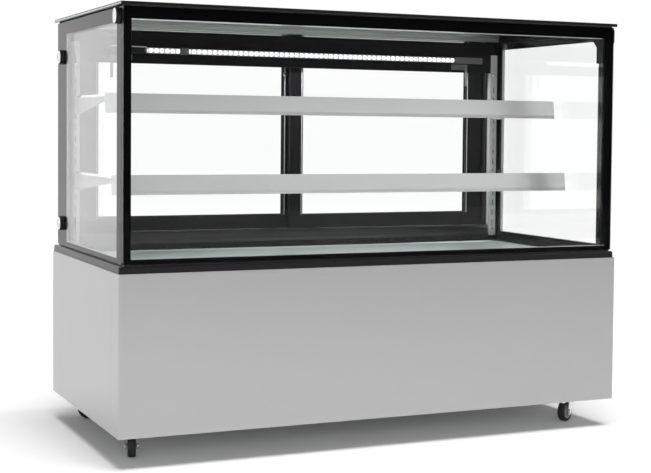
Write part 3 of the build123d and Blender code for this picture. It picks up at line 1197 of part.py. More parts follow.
def caster_pin(corner):
    x = FRAME_HALF_W - CASTER_FROM_SIDE
    if corner.endswith("left"):
        x = -x
    if corner.startswith("front"):
        return x, FRAME_FRONT_Y + CASTER_FROM_FRONT
    return x, FRAME_REAR_Y - CASTER_FROM_REAR


def place_caster(shape, corner):
    return Pos(*caster_pin(corner), 0) * Rot(0, 0, CASTER_TURNS[corner]) * shape


save("base_front_panel", base_front_panel())
save("base_side_panels", both_sides(base_side_panel()))
save("base_floor_plate", base_floor_plate())
save("chassis_frame", chassis_frame())
save("rear_service_panel", rear_service_panel())
save("fixing_screws", fixing_screws())
save("plinth_trim", plinth_trim())
save("display_deck", display_deck())
save("insulated_well", insulated_well())
save("front_glass", front_glass())
save("side_glass", side_glass())
save("glass_spacers", glass_spacers())
save("glass_borders", glass_borders())
save("lid_glass", lid_glass())
save("lid_seal", lid_seal())
save("glass_corner_brackets", glass_corner_brackets())
save("glass_fixing_caps", glass_fixing_caps())
save("lower_door_track", lower_door_track())
save("upper_door_track", upper_door_track())
save("rear_jambs", rear_jambs())
save("light_fascia", light_fascia())
save("led_tubes", led_tubes())
save("lamp_holders", lamp_holders())
save("shelf_uprights", shelf_uprights())
save("shelf_brackets", shelf_brackets())
save("shelf_glass", shelf_glass())
save("shelf_rails", shelf_rails())
save("evaporator_coil", evaporator_coil())
save("condenser_coil", condenser_coil())
save("compressor", compressor())
save("refrigerant_pipes", refrigerant_pipes())
save("condensate_tray", condensate_tray())
save("electrical_box", electrical_box())
save("control_housings", control_housings())

for door, left_x, front_y in (("right_door", NEAR_DOOR_LEFT_X, NEAR_DOOR_Y),
                              ("left_door", FAR_DOOR_LEFT_X, FAR_DOOR_Y)):
    save(door + "_frame", door_frame(left_x, front_y))
    save(door + "_glass", door_glass(left_x, front_y))
    save(door + "_fittings", door_fittings(left_x, front_y))

for button, (button_x, button_z) in button_places().items():
    save(button, controller_button(button_x, button_z))

for switch, switch_x in SWITCH_XS.items():
    save(switch, rocker(switch_x))

for side_name, side in (("left", -1), ("right", 1)):
    save("evaporator_fan_" + side_name,
         axial_fan(side * EVAP_FAN_X, FAN_PLATE_Y, EVAP_FAN_Z, EVAP_FAN_RADIUS, 1))
save("condenser_fan", axial_fan(CONDENSER_X, CONDENSER_FRONT_Y - SHROUD_DEPTH, COND_FAN_Z,
                                COND_FAN_RADIUS, -1))

save("caster_plates", group([Pos(*caster_pin(corner), 0) * caster_plate() for corner in CASTER_TURNS]))
for corner in CASTER_TURNS:
    save("caster_fork_" + corner, place_caster(caster_fork(), corner))
    save("caster_wheel_" + corner, place_caster(caster_wheel(), corner))
for corner in ("front_left", "front_right"):
    save("brake_pedal_" + corner, place_caster(brake_pedal(), corner))
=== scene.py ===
import math

import bmesh
import bpy
from mathutils import Matrix, Vector


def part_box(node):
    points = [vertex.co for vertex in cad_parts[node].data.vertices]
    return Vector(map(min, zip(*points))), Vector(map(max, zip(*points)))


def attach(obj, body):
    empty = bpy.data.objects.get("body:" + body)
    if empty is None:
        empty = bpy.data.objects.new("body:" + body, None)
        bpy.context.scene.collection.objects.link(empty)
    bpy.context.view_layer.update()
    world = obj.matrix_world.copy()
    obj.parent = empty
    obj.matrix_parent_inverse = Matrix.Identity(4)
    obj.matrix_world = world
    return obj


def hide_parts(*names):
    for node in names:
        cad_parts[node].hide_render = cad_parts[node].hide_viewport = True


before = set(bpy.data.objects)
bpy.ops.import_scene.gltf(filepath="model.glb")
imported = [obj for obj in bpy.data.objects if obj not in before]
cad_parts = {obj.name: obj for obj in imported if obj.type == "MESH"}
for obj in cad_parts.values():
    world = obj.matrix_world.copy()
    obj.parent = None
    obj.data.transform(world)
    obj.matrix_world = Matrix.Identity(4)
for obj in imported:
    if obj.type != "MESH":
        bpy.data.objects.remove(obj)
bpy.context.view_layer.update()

bl_info = {
    "name": "Refrigerated display counter",
    "version": (1, 0, 0),
    "blender": (4, 5, 0),
    "location": "View3D > Sidebar > Counter",
    "description": "Finishes, small fittings, light and camera for a refrigerated display counter",
    "category": "Object",
}

MM = 0.001
CORNERS = ("front_left", "front_right", "rear_left", "rear_right")
FOUR_SIGNS = ((-1, -1), (-1, 1), (1, -1), (1, 1))

# Where the small fittings sit, in millimetres
CAP_PLACES = ((301.0, 589.0), (301.0, 1077.0), (-318.0, 1156.0))
CASTER_PLACES = ((-680, -243), (680, -243), (-680, 316), (680, 316))
CASTER_PLATE_FOOT = 79.0
RAIL_TOPS_AND_FRONTS = ((743.0, -166.0), (963.0, -98.0))
RAIL_END_X = 705.0
# Heights of the bright strip painted as a highlight under the front's print.
SPACER_HIGHLIGHT_FOOT, SPACER_HIGHLIGHT_TOP = 1145.0, 1146.3
KEEPER_HEIGHT = 1043.5
EVAPORATOR_END_X = 450.0
EVAPORATOR_FAN = (150.0, -84.0, 420.0)
CONDENSER_FAN = (250.0, 203.0, 184.0)
CONDENSER_HALF_LENGTH = 160
COMPRESSOR_X, COMPRESSOR_Y = -150.0, 120.0
CONTROLLER_X, CONTROLLER_Z = 554, 440

# The photograph's size and the point that the camera looks straight at, in pixels
PHOTO_WIDTH, PHOTO_HEIGHT = 651.0, 473.0
AXIS_ACROSS, AXIS_DOWN = 355.0, 190.0


# Sizes and colours that a user may change

def colour(name, description, default):
    return bpy.props.FloatVectorProperty(
        name=name, description=description, subtype="COLOR", size=3, min=0, max=1, default=default)


def length(name, description, default):
    return bpy.props.FloatProperty(
        name=name, description=description, subtype="DISTANCE", unit="LENGTH", default=default)


def number(name, description, default, **limits):
    return bpy.props.FloatProperty(name=name, description=description, default=default, **limits)


class CounterSteel(bpy.types.PropertyGroup):
    panel: colour("Panels", "Colour of the brushed outer panels", (0.48, 0.48, 0.485))
    deck: colour("Deck", "Colour of the steel deck under the shelves", (0.64, 0.71, 0.68))
    grain: number("Grain", "How strongly the brushing shows in the colour", 0.05, min=0, max=1)
    screw_head: length("Screw head", "Radius of the pan-head screws", 0.0045)


class CounterGlass(bpy.types.PropertyGroup):
    tint: colour("Tint", "Colour of the clear panes", (0.997, 1.0, 0.998))
    ior: number("Refraction", "Index of refraction of the panes", 1.13, min=1, max=2)
    side_ior: number("Side refraction", "Index of refraction of the side panes", 1.24, min=1, max=2)
    border: colour("Border", "Colour of the print round the panes", (0.006, 0.006, 0.007))
    bead: length("Sealant bead", "Radius of the sealant in the inner corners", 0.0035)


class CounterTrim(bpy.types.PropertyGroup):
    black: colour("Black trim", "Colour of the lower door track and the posts", (0.005, 0.005, 0.006))
    rail: colour("Shelf rails", "Colour of the aluminium shelf rails", (0.66, 0.67, 0.67))
    rack: colour("Shelf posts", "Colour of the slotted posts and brackets", (0.84, 0.86, 0.86))
    brush: length("Door brush", "How far the brush seal stands out of the door", 0.0052)


class CounterLight(bpy.types.PropertyGroup):
    diode_pitch: length("Diode pitch", "Distance between the diodes in the tubes", 0.0167)
    diode: colour("Diodes", "Colour of the lit diodes", (0.93, 0.98, 1.0))
    strength: number("Strength", "Strength of the lit diodes", 5.0, min=0)


class CounterRunningGear(bpy.types.PropertyGroup):
    tread: colour("Tread", "Colour of the caster tyres", (0.018, 0.018, 0.019))
    rim: colour("Rim", "Colour of the caster wheel centres", (0.30, 0.30, 0.31))
    guard_wire: length("Guard wire", "Radius of the wire in the fan guards", 0.0013)


class CounterStudio(bpy.types.PropertyGroup):
    lens: number("Lens", "Focal length of the camera in millimetres", 78.216, min=1)
    eye: bpy.props.FloatVectorProperty(
        name="Camera place", description="Where the camera stands", subtype="TRANSLATION",
        unit="LENGTH", size=3, default=(-1.692019, -3.841840, 0.873060))
    turn: bpy.props.FloatVectorProperty(
        name="Camera turn", description="Yaw, pitch and roll of the camera", subtype="EULER",
        unit="ROTATION", size=3, default=(-0.430449, -0.042735, 0.009401))
    fill: number("Fill", "Strength of the even light from all round", 0.26, min=0)
    key: number("Key lamp", "Strength of the broad light from above", 3.0, min=0)
    side: number("Side lamp", "Power of the soft lamp in front", 58, min=0)
    inside: number("Tube lamp", "Power of the light that falls from the tubes", 5, min=0)
    floor: colour("Floor", "Colour of the floor", (0.84, 0.84, 0.84))


GROUPS = {"counter_steel": CounterSteel, "counter_glass": CounterGlass, "counter_trim": CounterTrim,
          "counter_light": CounterLight, "counter_gear": CounterRunningGear,
          "counter_studio": CounterStudio}


# Shape helpers, in millimetres

def span(node):
    """Lowest and highest corner of a CAD node, in millimetres."""
    low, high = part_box(node)
    return Vector(low) / MM, Vector(high) / MM


def centre(node):
    low, high = span(node)
    return (low + high) / 2


def box(mesh, low, high, edge=0.0, segments=2):
    """A box between two corners, with rounded edges."""
    low, high = Vector(low), Vector(high)
    place = Matrix.Translation((low + high) / 2) @ Matrix.Diagonal((*(high - low), 1.0))
    made = bmesh.ops.create_cube(mesh, size=1.0, matrix=place)["verts"]
    if edge:
        edges = list({e for v in made for e in v.link_edges})
        bmesh.ops.bevel(mesh, geom=edges, offset=edge, affect="EDGES", segments=segments,
                        profile=0.5, material=-1)


def bar(mesh, start, end, radius, end_radius=None, sides=16):
    """A round bar from one point to another."""
    start, end = Vector(start), Vector(end)
    turn = (end - start).to_track_quat("Z", "Y").to_matrix().to_4x4()
    bmesh.ops.create_cone(mesh, cap_ends=True, cap_tris=False, segments=sides, radius1=radius,
                          radius2=radius if end_radius is None else end_radius,
                          depth=(end - start).length,
                          matrix=Matrix.Translation((start + end) / 2) @ turn)


def lathe(mesh, outline, middle, axis, steps=40):
    """A closed outline of distances along the axis and radii, spun round it."""
    axis = Vector(axis).normalized()
    out = axis.orthogonal().normalized()
    corners = [mesh.verts.new(Vector(middle) + axis * along + out * radius)
               for along, radius in outline]
    edges = [mesh.edges.new(pair) for pair in zip(corners, corners[1:] + corners[:1])]
    bmesh.ops.spin(mesh, geom=corners + edges, cent=middle, axis=axis, dvec=(0, 0, 0),
                   angle=math.tau, steps=steps, use_merge=True, use_duplicate=False)


def ring(mesh, middle, axis, radius, wire, steps=40, sides=8):
    """A ring of round wire."""
    turns = [math.tau * k / sides for k in range(sides)]
    lathe(mesh, [(wire * math.sin(a), radius + wire * math.cos(a)) for a in turns], middle, axis, steps)


def bend(mesh, middle, axis, radius=8.0, wire=4.0):
    """A round tube bent half a turn about an axis, from below its middle."""
    middle, axis = Vector(middle), Vector(axis)
    start = middle - Vector((0, 0, radius))
    turn = axis.cross(start - middle).to_track_quat("Z", "Y").to_matrix().to_4x4()
    made = bmesh.ops.create_circle(mesh, cap_ends=False, segments=8, radius=wire,
                                   matrix=Matrix.Translation(start) @ turn)["verts"]
    edges = list({e for v in made for e in v.link_edges})
    bmesh.ops.spin(mesh, geom=made + edges, cent=middle, axis=axis, dvec=(0, 0, 0), angle=math.pi,
                   steps=10, use_merge=False, use_duplicate=False)


def prism(mesh, outline, run):
    """A flat outline of points, drawn out by a vector."""
    face = mesh.faces.new([mesh.verts.new(Vector(point)) for point in outline])
    made = bmesh.ops.extrude_face_region(mesh, geom=[face])["geom"]
    verts = [v for v in made if isinstance(v, bmesh.types.BMVert)]
    bmesh.ops.translate(mesh, vec=Vector(run), verts=verts)


def fan_guard(mesh, middle, radii, reach, back, wire, arm, steps):
    """Rings of wire in front of a fan, and four arms that run out and back to its plate."""
    middle = Vector(middle)
    for radius in radii:
        ring(mesh, middle, (0, 1, 0), radius, wire, steps, 6)
    for k in range(4):
        a = math.pi / 4 + math.pi / 2 * k
        out = Vector((math.cos(a), 0, math.sin(a)))
        end = middle + out * reach
        bar(mesh, middle + out * radii[0], end, arm, sides=6)
        bar(mesh, end, end + Vector((0, back, 0)), arm, sides=6)


def piece(name, mesh, finish, sharp=35.0, body="counter"):
    """Turns the mesh into a finished piece of the counter that rides on a body."""
    bmesh.ops.scale(mesh, vec=(MM, MM, MM), verts=mesh.verts)
    bmesh.ops.remove_doubles(mesh, verts=mesh.verts, dist=1e-6)
    bmesh.ops.recalc_face_normals(mesh, faces=mesh.faces)
    data = bpy.data.meshes.new(name)
    mesh.to_mesh(data)
    mesh.free()
    data.shade_smooth()
    data.set_sharp_from_angle(angle=math.radians(sharp))
    data.materials.append(finish)
    made = bpy.data.objects.new(name, data)
    bpy.context.scene.collection.objects.link(made)
    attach(made, body)
    return made


def coat(finish, *nodes):
    """Gives CAD nodes a finish."""
    for node in nodes:
        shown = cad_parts[node]
        if not shown.data.materials:
            shown.data.materials.append(finish)
        for place in shown.material_slots:
            place.material = finish


# Node helpers

def add(tree, kind, **settings):
    made = tree.nodes.new(kind)
    for name, value in settings.items():
        setattr(made, name, value)
    return made


def put(tree, socket, value):
    """Links an output to an input, or sets the input's own value."""
    if isinstance(value, bpy.types.NodeSocket):
        tree.links.new(value, socket)
    else:
        socket.default_value = value


def feed(tree, node, **values):
    """Links or sets a node's inputs by their names, with _ for a space."""
    for label, value in values.items():
        put(tree, node.inputs[label.replace("_", " ")], value)


def fill(tree, node, *values):
    """Links or sets a node's inputs in their order, and returns its first output."""
    for socket, value in zip(node.inputs, values):
        put(tree, socket, value)
    return node.outputs[0]


def maths(tree, operation, *values, clamp=False):
    return fill(tree, add(tree, "ShaderNodeMath", operation=operation, use_clamp=clamp), *values)


def axes(tree, place):
    """The X, Y and Z of a vector."""
    parts = add(tree, "ShaderNodeSeparateXYZ")
    put(tree, parts.inputs[0], place)
    return parts.outputs


def scaled(tree, colour, factor):
    """A colour or vector times a number or another vector."""
    return fill(tree, add(tree, "ShaderNodeVectorMath", operation="MULTIPLY"), colour, factor)


def shaded(tree, colour, factor):
    """A colour with all its parts times one number."""
    return scaled(tree, colour, fill(tree, add(tree, "ShaderNodeCombineXYZ"), factor, factor, factor))


def blend_colour(tree, factor, first, second):
    made = add(tree, "ShaderNodeMix", data_type="RGBA")
    for index, value in ((0, factor), (6, first), (7, second)):
        put(tree, made.inputs[index], value)
    return made.outputs[2]


def mix_shader(tree, factor, first, second):
    return fill(tree, add(tree, "ShaderNodeMixShader"), factor, first, second)


def noise(tree, place, scale, detail=3.0, roughness=0.55):
    made = add(tree, "ShaderNodeTexNoise")
    feed(tree, made, Vector=place, Scale=scale, Detail=detail, Roughness=roughness)
    return made.outputs["Fac"]


def span_map(tree, value, low, high, to_low=0.0, to_high=1.0):
    made = add(tree, "ShaderNodeMapRange", interpolation_type="SMOOTHSTEP")
    return fill(tree, made, value, low, high, to_low, to_high)


def seen_straight(tree, path):
    """1 where the camera looks, also through glass."""
    return maths(tree, "MAXIMUM", path["Is Camera Ray"], path["Is Transmission Ray"])


COORDINATE = ("Coordinate", "Vector", None)
BASE_COLOUR = ("Colour", "Color", (0.5, 0.5, 0.5, 1))
SURFACE = [("Colour", "Color"), ("Roughness", "Float"), ("Height", "Float")]


def effect(name, inputs, outputs):
    """An empty shader group with named sockets, and its two ends."""
    tree = bpy.data.node_groups.new(name, "ShaderNodeTree")
    for label, kind, default in inputs:
        made = tree.interface.new_socket(name=label, in_out="INPUT", socket_type="NodeSocket" + kind)
        if default is not None:
            made.default_value = default
    for label, kind in outputs:
        tree.interface.new_socket(name=label, in_out="OUTPUT", socket_type="NodeSocket" + kind)
    return tree, add(tree, "NodeGroupInput").outputs, add(tree, "NodeGroupOutput").inputs


def once(build):
    """Builds a shader group the first time and finds it again by its name afterwards."""
    def fetch():
        return bpy.data.node_groups.get(build.__name__) or build()
    return fetch


@once
def worked_surface():
    """Grain or mottling that runs along one direction, with broad uneven patches over it."""
    tree, given, out = effect(
        "worked_surface",
        [COORDINATE, BASE_COLOUR, ("Stretch", "Vector", (40, 40, 40)), ("Broad Scale", "Float", 4.0),
         ("Colour Change", "Float", 0.1), ("Roughness", "Float", 0.4),
         ("Roughness Change", "Float", 0.1)], SURFACE)
    fine = noise(tree, scaled(tree, given["Coordinate"], given["Stretch"]), 1.0, 5.0, 0.6)
    broad = noise(tree, given["Coordinate"], given["Broad Scale"], 3.0)
    fine_part = maths(tree, "MULTIPLY", maths(tree, "SUBTRACT", fine, 0.5), 1.4)
    both = maths(tree, "ADD", fine_part, maths(tree, "SUBTRACT", broad, 0.5))
    factor = maths(tree, "ADD", 1.0, maths(tree, "MULTIPLY", both, given["Colour Change"]))
    put(tree, out["Colour"], shaded(tree, given["Colour"], factor))
    change = maths(tree, "MULTIPLY", both, given["Roughness Change"])
    put(tree, out["Roughness"], maths(tree, "ADD", given["Roughness"], change, clamp=True))
    put(tree, out["Height"], fine)
    return tree


@once
def handling_marks():
    """Faint wiping marks and fingerprints that change only the gloss."""
    tree, given, out = effect(
        "handling_marks",
        [COORDINATE, ("Roughness", "Float", 0.3), ("Amount", "Float", 0.1)], [("Roughness", "Float")])
    swirl = noise(tree, given["Coordinate"], 9.0, 6.0, 0.65)
    patch = span_map(tree, noise(tree, given["Coordinate"], 2.3, 2.0), 0.45, 0.7)
    mask = maths(tree, "MULTIPLY", span_map(tree, swirl, 0.48, 0.72), patch)
    more = maths(tree, "MULTIPLY", mask, given["Amount"])
    put(tree, out["Roughness"], maths(tree, "ADD", given["Roughness"], more, clamp=True))
    return tree


@once
def zinc_spangle():
    """The flaky crystal pattern of zinc coating."""
    tree, given, out = effect(
        "zinc_spangle",
        [COORDINATE, BASE_COLOUR, ("Scale", "Float", 90.0), ("Change", "Float", 0.25),
         ("Roughness", "Float", 0.4)], SURFACE)
    cells = add(tree, "ShaderNodeTexVoronoi")
    feed(tree, cells, Vector=given["Coordinate"], Scale=given["Scale"])
    flake = add(tree, "ShaderNodeSeparateColor")
    put(tree, flake.inputs[0], cells.outputs["Color"])
    level = maths(tree, "MULTIPLY", maths(tree, "SUBTRACT", flake.outputs[0], 0.5), given["Change"])
    put(tree, out["Colour"], shaded(tree, given["Colour"], maths(tree, "ADD", 1.0, level)))
    less = maths(tree, "MULTIPLY", level, -0.6)
    put(tree, out["Roughness"], maths(tree, "ADD", given["Roughness"], less, clamp=True))
    put(tree, out["Height"], flake.outputs[1])
    return tree


@once
def dot_row():
    """A row of round dots along X at an even pitch, centred on one height."""
    tree, given, out = effect(
        "dot_row",
        [COORDINATE, ("Pitch", "Float", 0.01), ("Height", "Float", 0.0), ("Radius", "Float", 0.003),
         ("Softness", "Float", 0.5)], [("Mask", "Float")])
    parts = axes(tree, given["Coordinate"])
    along = maths(tree, "PINGPONG", parts["X"], maths(tree, "MULTIPLY", given["Pitch"], 0.5))
    up = maths(tree, "SUBTRACT", parts["Z"], given["Height"])
    square = maths(tree, "ADD", maths(tree, "POWER", along, 2.0), maths(tree, "MULTIPLY", up, up))
    away = maths(tree, "DIVIDE", maths(tree, "SQRT", square), given["Radius"])
    edge = maths(tree, "SUBTRACT", 1.0, given["Softness"])
    put(tree, out["Mask"], span_map(tree, away, edge, 1.0, 1.0, 0.0))
    return tree


def start_finish(name):
    """An empty material with its shader and its object coordinates."""
    made = bpy.data.materials.new(name)
    made.use_nodes = True
    tree = made.node_tree
    shader = tree.nodes["Principled BSDF"]
    return made, tree, shader, add(tree, "ShaderNodeTexCoord").outputs["Object"]


def use(tree, group, **values):
    """Places a group in a material and returns its outputs."""
    made = add(tree, "ShaderNodeGroup", node_tree=group)
    feed(tree, made, **values)
    return made.outputs


def relief(tree, shader, height, strength, distance):
    made = add(tree, "ShaderNodeBump")
    feed(tree, made, Height=height, Strength=strength, Distance=distance)
    put(tree, shader.inputs["Normal"], made.outputs[0])


def grained(name, colour, roughness, stretch, change=0.1, gloss_change=0.1, broad=4.0):
    """A new finish on the worked surface group. A single stretch runs the same all ways."""
    made, tree, shader, place = start_finish(name)
    if not isinstance(stretch, tuple):
        stretch = (stretch, stretch, stretch)
    look = use(tree, worked_surface(), Coordinate=place, Colour=(*colour, 1.0), Stretch=stretch,
               Broad_Scale=broad, Colour_Change=change, Roughness=roughness,
               Roughness_Change=gloss_change)
    feed(tree, shader, Base_Color=look["Colour"], Roughness=look["Roughness"])
    return made, tree, shader, place, look


def mark(tree, shader, place, gloss, amount):
    """Puts handling marks on a roughness."""
    marks = use(tree, handling_marks(), Coordinate=place, Roughness=gloss, Amount=amount)
    put(tree, shader.inputs["Roughness"], marks["Roughness"])


def worked(name, colour, roughness, stretch, metallic=0.0, change=0.1, gloss_change=0.1, broad=4.0,
           bump=0.1, depth=0.0002, marks=0.0, coat_weight=0.0, specular=0.5):
    """A finish with grain or mottling, made once."""
    if name in bpy.data.materials:
        return bpy.data.materials[name]
    made, tree, shader, place, look = grained(name, colour, roughness, stretch, change, gloss_change,
                                              broad)
    if marks:
        mark(tree, shader, place, look["Roughness"], marks)
    feed(tree, shader, Metallic=metallic, Specular_IOR_Level=specular, Coat_Weight=coat_weight,
         Coat_Roughness=0.05)
    if bump:
        relief(tree, shader, look["Height"], bump, depth)
    return made


def zinced(name, colour):
    """A zinc coated finish."""
    made, tree, shader, place = start_finish(name)
    look = use(tree, zinc_spangle(), Coordinate=place, Colour=(*colour, 1.0), Scale=90.0, Change=0.25,
               Roughness=0.38)
    feed(tree, shader, Base_Color=look["Colour"], Roughness=look["Roughness"], Metallic=1.0)
    relief(tree, shader, look["Height"], 0.08, 0.0002)
    return made


def pane_glass(name, tint, ior):
    """Clear glass that lets the lamps' light through to what is behind it."""
    if name in bpy.data.materials:
        return bpy.data.materials[name]
    made, tree, shader, place = start_finish(name)
    feed(tree, shader, Base_Color=(*tint, 1.0), Transmission_Weight=1.0, IOR=ior)
    mark(tree, shader, place, 0.0, 0.02)
    clear = add(tree, "ShaderNodeBsdfTransparent")
    feed(tree, clear, Color=(*tint, 1.0))
    shadow = add(tree, "ShaderNodeLightPath").outputs["Is Shadow Ray"]
    put(tree, tree.nodes["Material Output"].inputs["Surface"],
        mix_shader(tree, shadow, shader.outputs[0], clear.outputs[0]))
    return made


def clear_pane():
    glass = bpy.context.scene.counter_glass
    return pane_glass("clear_pane", glass.tint, glass.ior)


def screw_finish():
    return worked("bright_screw", (0.66, 0.66, 0.67), 0.24, 900, metallic=1.0, change=0.2,
                  gloss_change=0.15, bump=0.05)


def copper_finish():
    return worked("copper_tube", (0.72, 0.38, 0.22), 0.30, 150, metallic=1.0, change=0.35,
                  gloss_change=0.25, broad=18.0, bump=0.05)


def rubber_finish(name, shade, roughness, stretch=300):
    return worked(name, (shade, shade, shade), roughness, stretch, change=0.3, bump=0.2)


# Operators

class CounterOperator:
    """Adds something to the counter."""
    bl_options = {"REGISTER", "UNDO"}


class COUNTER_OT_studio(CounterOperator, bpy.types.Operator):
    """Floor, even light, soft lamps and the camera"""
    bl_idname = "counter.studio"
    bl_label = "Studio"

    def execute(self, context):
        wanted = context.scene.counter_studio
        self.world(context, wanted)
        self.floor(wanted)
        sun = self.light("sun_lamp", "SUN", wanted.key, (-0.02, 0.20, -1.0), ("glossy",))
        sun.angle = math.radians(30)
        self.lamp("front_lamp", (-1.9, -4.4, 1.4), (0.1, 0.0, 0.8), (2.4, 1.2), wanted.side)
        low, high = span("led_tubes")
        self.lamp("tube_lamp", (0.09, low.y * MM - 0.012, low.z * MM - 0.01), (0.09, -0.1, 0.5),
                  (1.0, 0.03), wanted.inside)
        self.camera(context, wanted)
        context.scene.view_settings.view_transform = "Standard"
        cycles = context.scene.cycles
        cycles.max_bounces = 24
        cycles.transmission_bounces = 24
        cycles.transparent_max_bounces = 32
        return {"FINISHED"}

    def world(self, context, wanted):
        """White where the camera looks, an even fill, and a card and a dim side for reflections."""
        world = bpy.data.worlds.new("studio_world")
        context.scene.world = world
        world.use_nodes = True
        tree = world.node_tree
        tree.nodes.clear()
        path = add(tree, "ShaderNodeLightPath").outputs
        direct = maths(tree, "LESS_THAN", path["Diffuse Depth"], 0.5)
        seen = maths(tree, "MULTIPLY", seen_straight(tree, path), direct)
        mirrored = maths(tree, "GREATER_THAN", path["Glossy Depth"], 0.5)
        mirrored = maths(tree, "MULTIPLY", mirrored, direct)
        way = add(tree, "ShaderNodeTexCoord").outputs["Generated"]
        facing = add(tree, "ShaderNodeVectorMath", operation="DOT_PRODUCT")
        fill(tree, facing, way, tuple(Vector((0.44, -0.90, 0.0)).normalized()))
        parts = axes(tree, way)
        level = span_map(tree, maths(tree, "ABSOLUTE", parts["Z"]), 0.085, 0.13, 1.0, 0.0)
        card = maths(tree, "MULTIPLY", level, span_map(tree, facing.outputs["Value"], 0.30, 0.86))
        wall = maths(tree, "MAXIMUM", span_map(tree, parts["X"], 0.12, 0.52, 0.48, 1.15),
                     span_map(tree, parts["Y"], -0.3, 0.3, 0.3, 1.1))
        dimmed = maths(tree, "SUBTRACT", 1.0, maths(tree, "MULTIPLY", card, 0.8))
        shades = []
        for strength in (wanted.fill, 1.0, maths(tree, "MULTIPLY", wall, dimmed)):
            made = add(tree, "ShaderNodeBackground")
            feed(tree, made, Color=(1, 1, 1, 1), Strength=strength)
            shades.append(made.outputs[0])
        plain = mix_shader(tree, seen, shades[0], shades[1])
        put(tree, add(tree, "ShaderNodeOutputWorld").inputs["Surface"],
            mix_shader(tree, mirrored, plain, shades[2]))

    def floor(self, wanted):
        mesh = bmesh.new()
        place = Matrix.Translation((0, -1.0, 0)) @ Matrix.Diagonal((12, 10, 1, 1))
        bmesh.ops.create_grid(mesh, x_segments=1, y_segments=1, size=1.0, matrix=place)
        data = bpy.data.meshes.new("studio_floor")
        mesh.to_mesh(data)
        mesh.free()
        made = bpy.data.objects.new("studio_floor", data)
        bpy.context.scene.collection.objects.link(made)
        finish, tree, shader, _ = start_finish("pale_floor")
        feed(tree, shader, Base_Color=(*wanted.floor, 1.0), Roughness=0.9, Specular_IOR_Level=0.0)
        seen = seen_straight(tree, add(tree, "ShaderNodeLightPath").outputs)
        glow = add(tree, "ShaderNodeEmission")
        feed(tree, glow, Strength=maths(tree, "MULTIPLY", seen, 0.04))
        both = fill(tree, add(tree, "ShaderNodeAddShader"), shader.outputs[0], glow.outputs[0])
        put(tree, tree.nodes["Material Output"].inputs["Surface"], both)
        data.materials.append(finish)

    def light(self, name, kind, power, aim, hidden, place=(0, 0, 0)):
        """A light that the named kinds of ray don't see."""
        data = bpy.data.lights.new(name, kind)
        data.energy = power
        made = bpy.data.objects.new(name, data)
        made.location = place
        made.rotation_mode = "QUATERNION"
        made.rotation_quaternion = Vector(aim).to_track_quat("-Z", "Y")
        for ray in hidden:
            setattr(made, "visible_" + ray, False)
        bpy.context.scene.collection.objects.link(made)
        return data

    def lamp(self, name, place, target, size, power):
        aim = Vector(target) - Vector(place)
        data = self.light(name, "AREA", power, aim, ("camera", "glossy", "transmission"), place)
        data.shape = "RECTANGLE"
        data.size, data.size_y = size

    def camera(self, context, wanted):
        yaw, pitch, roll = wanted.turn
        right = Vector((math.cos(yaw), math.sin(yaw), 0))
        ahead = Vector((-math.sin(yaw), math.cos(yaw), 0))
        up = Vector((0, 0, 1))
        ahead, up = (ahead * math.cos(pitch) + up * math.sin(pitch),
                     up * math.cos(pitch) - ahead * math.sin(pitch))
        right, up = (right * math.cos(roll) + up * math.sin(roll),
                     up * math.cos(roll) - right * math.sin(roll))
        data = bpy.data.cameras.new("photo_camera")
        data.sensor_width = 36.0
        data.lens = wanted.lens
        data.shift_x = (PHOTO_WIDTH / 2 - AXIS_ACROSS) / PHOTO_WIDTH
        data.shift_y = (AXIS_DOWN - PHOTO_HEIGHT / 2) / PHOTO_WIDTH
        data.clip_start = 0.05
        made = bpy.data.objects.new("photo_camera", data)
        turned = Matrix((right, up, -ahead)).transposed().to_4x4()
        made.matrix_world = Matrix.Translation(wanted.eye) @ turned
        context.scene.collection.objects.link(made)
        context.scene.camera = made


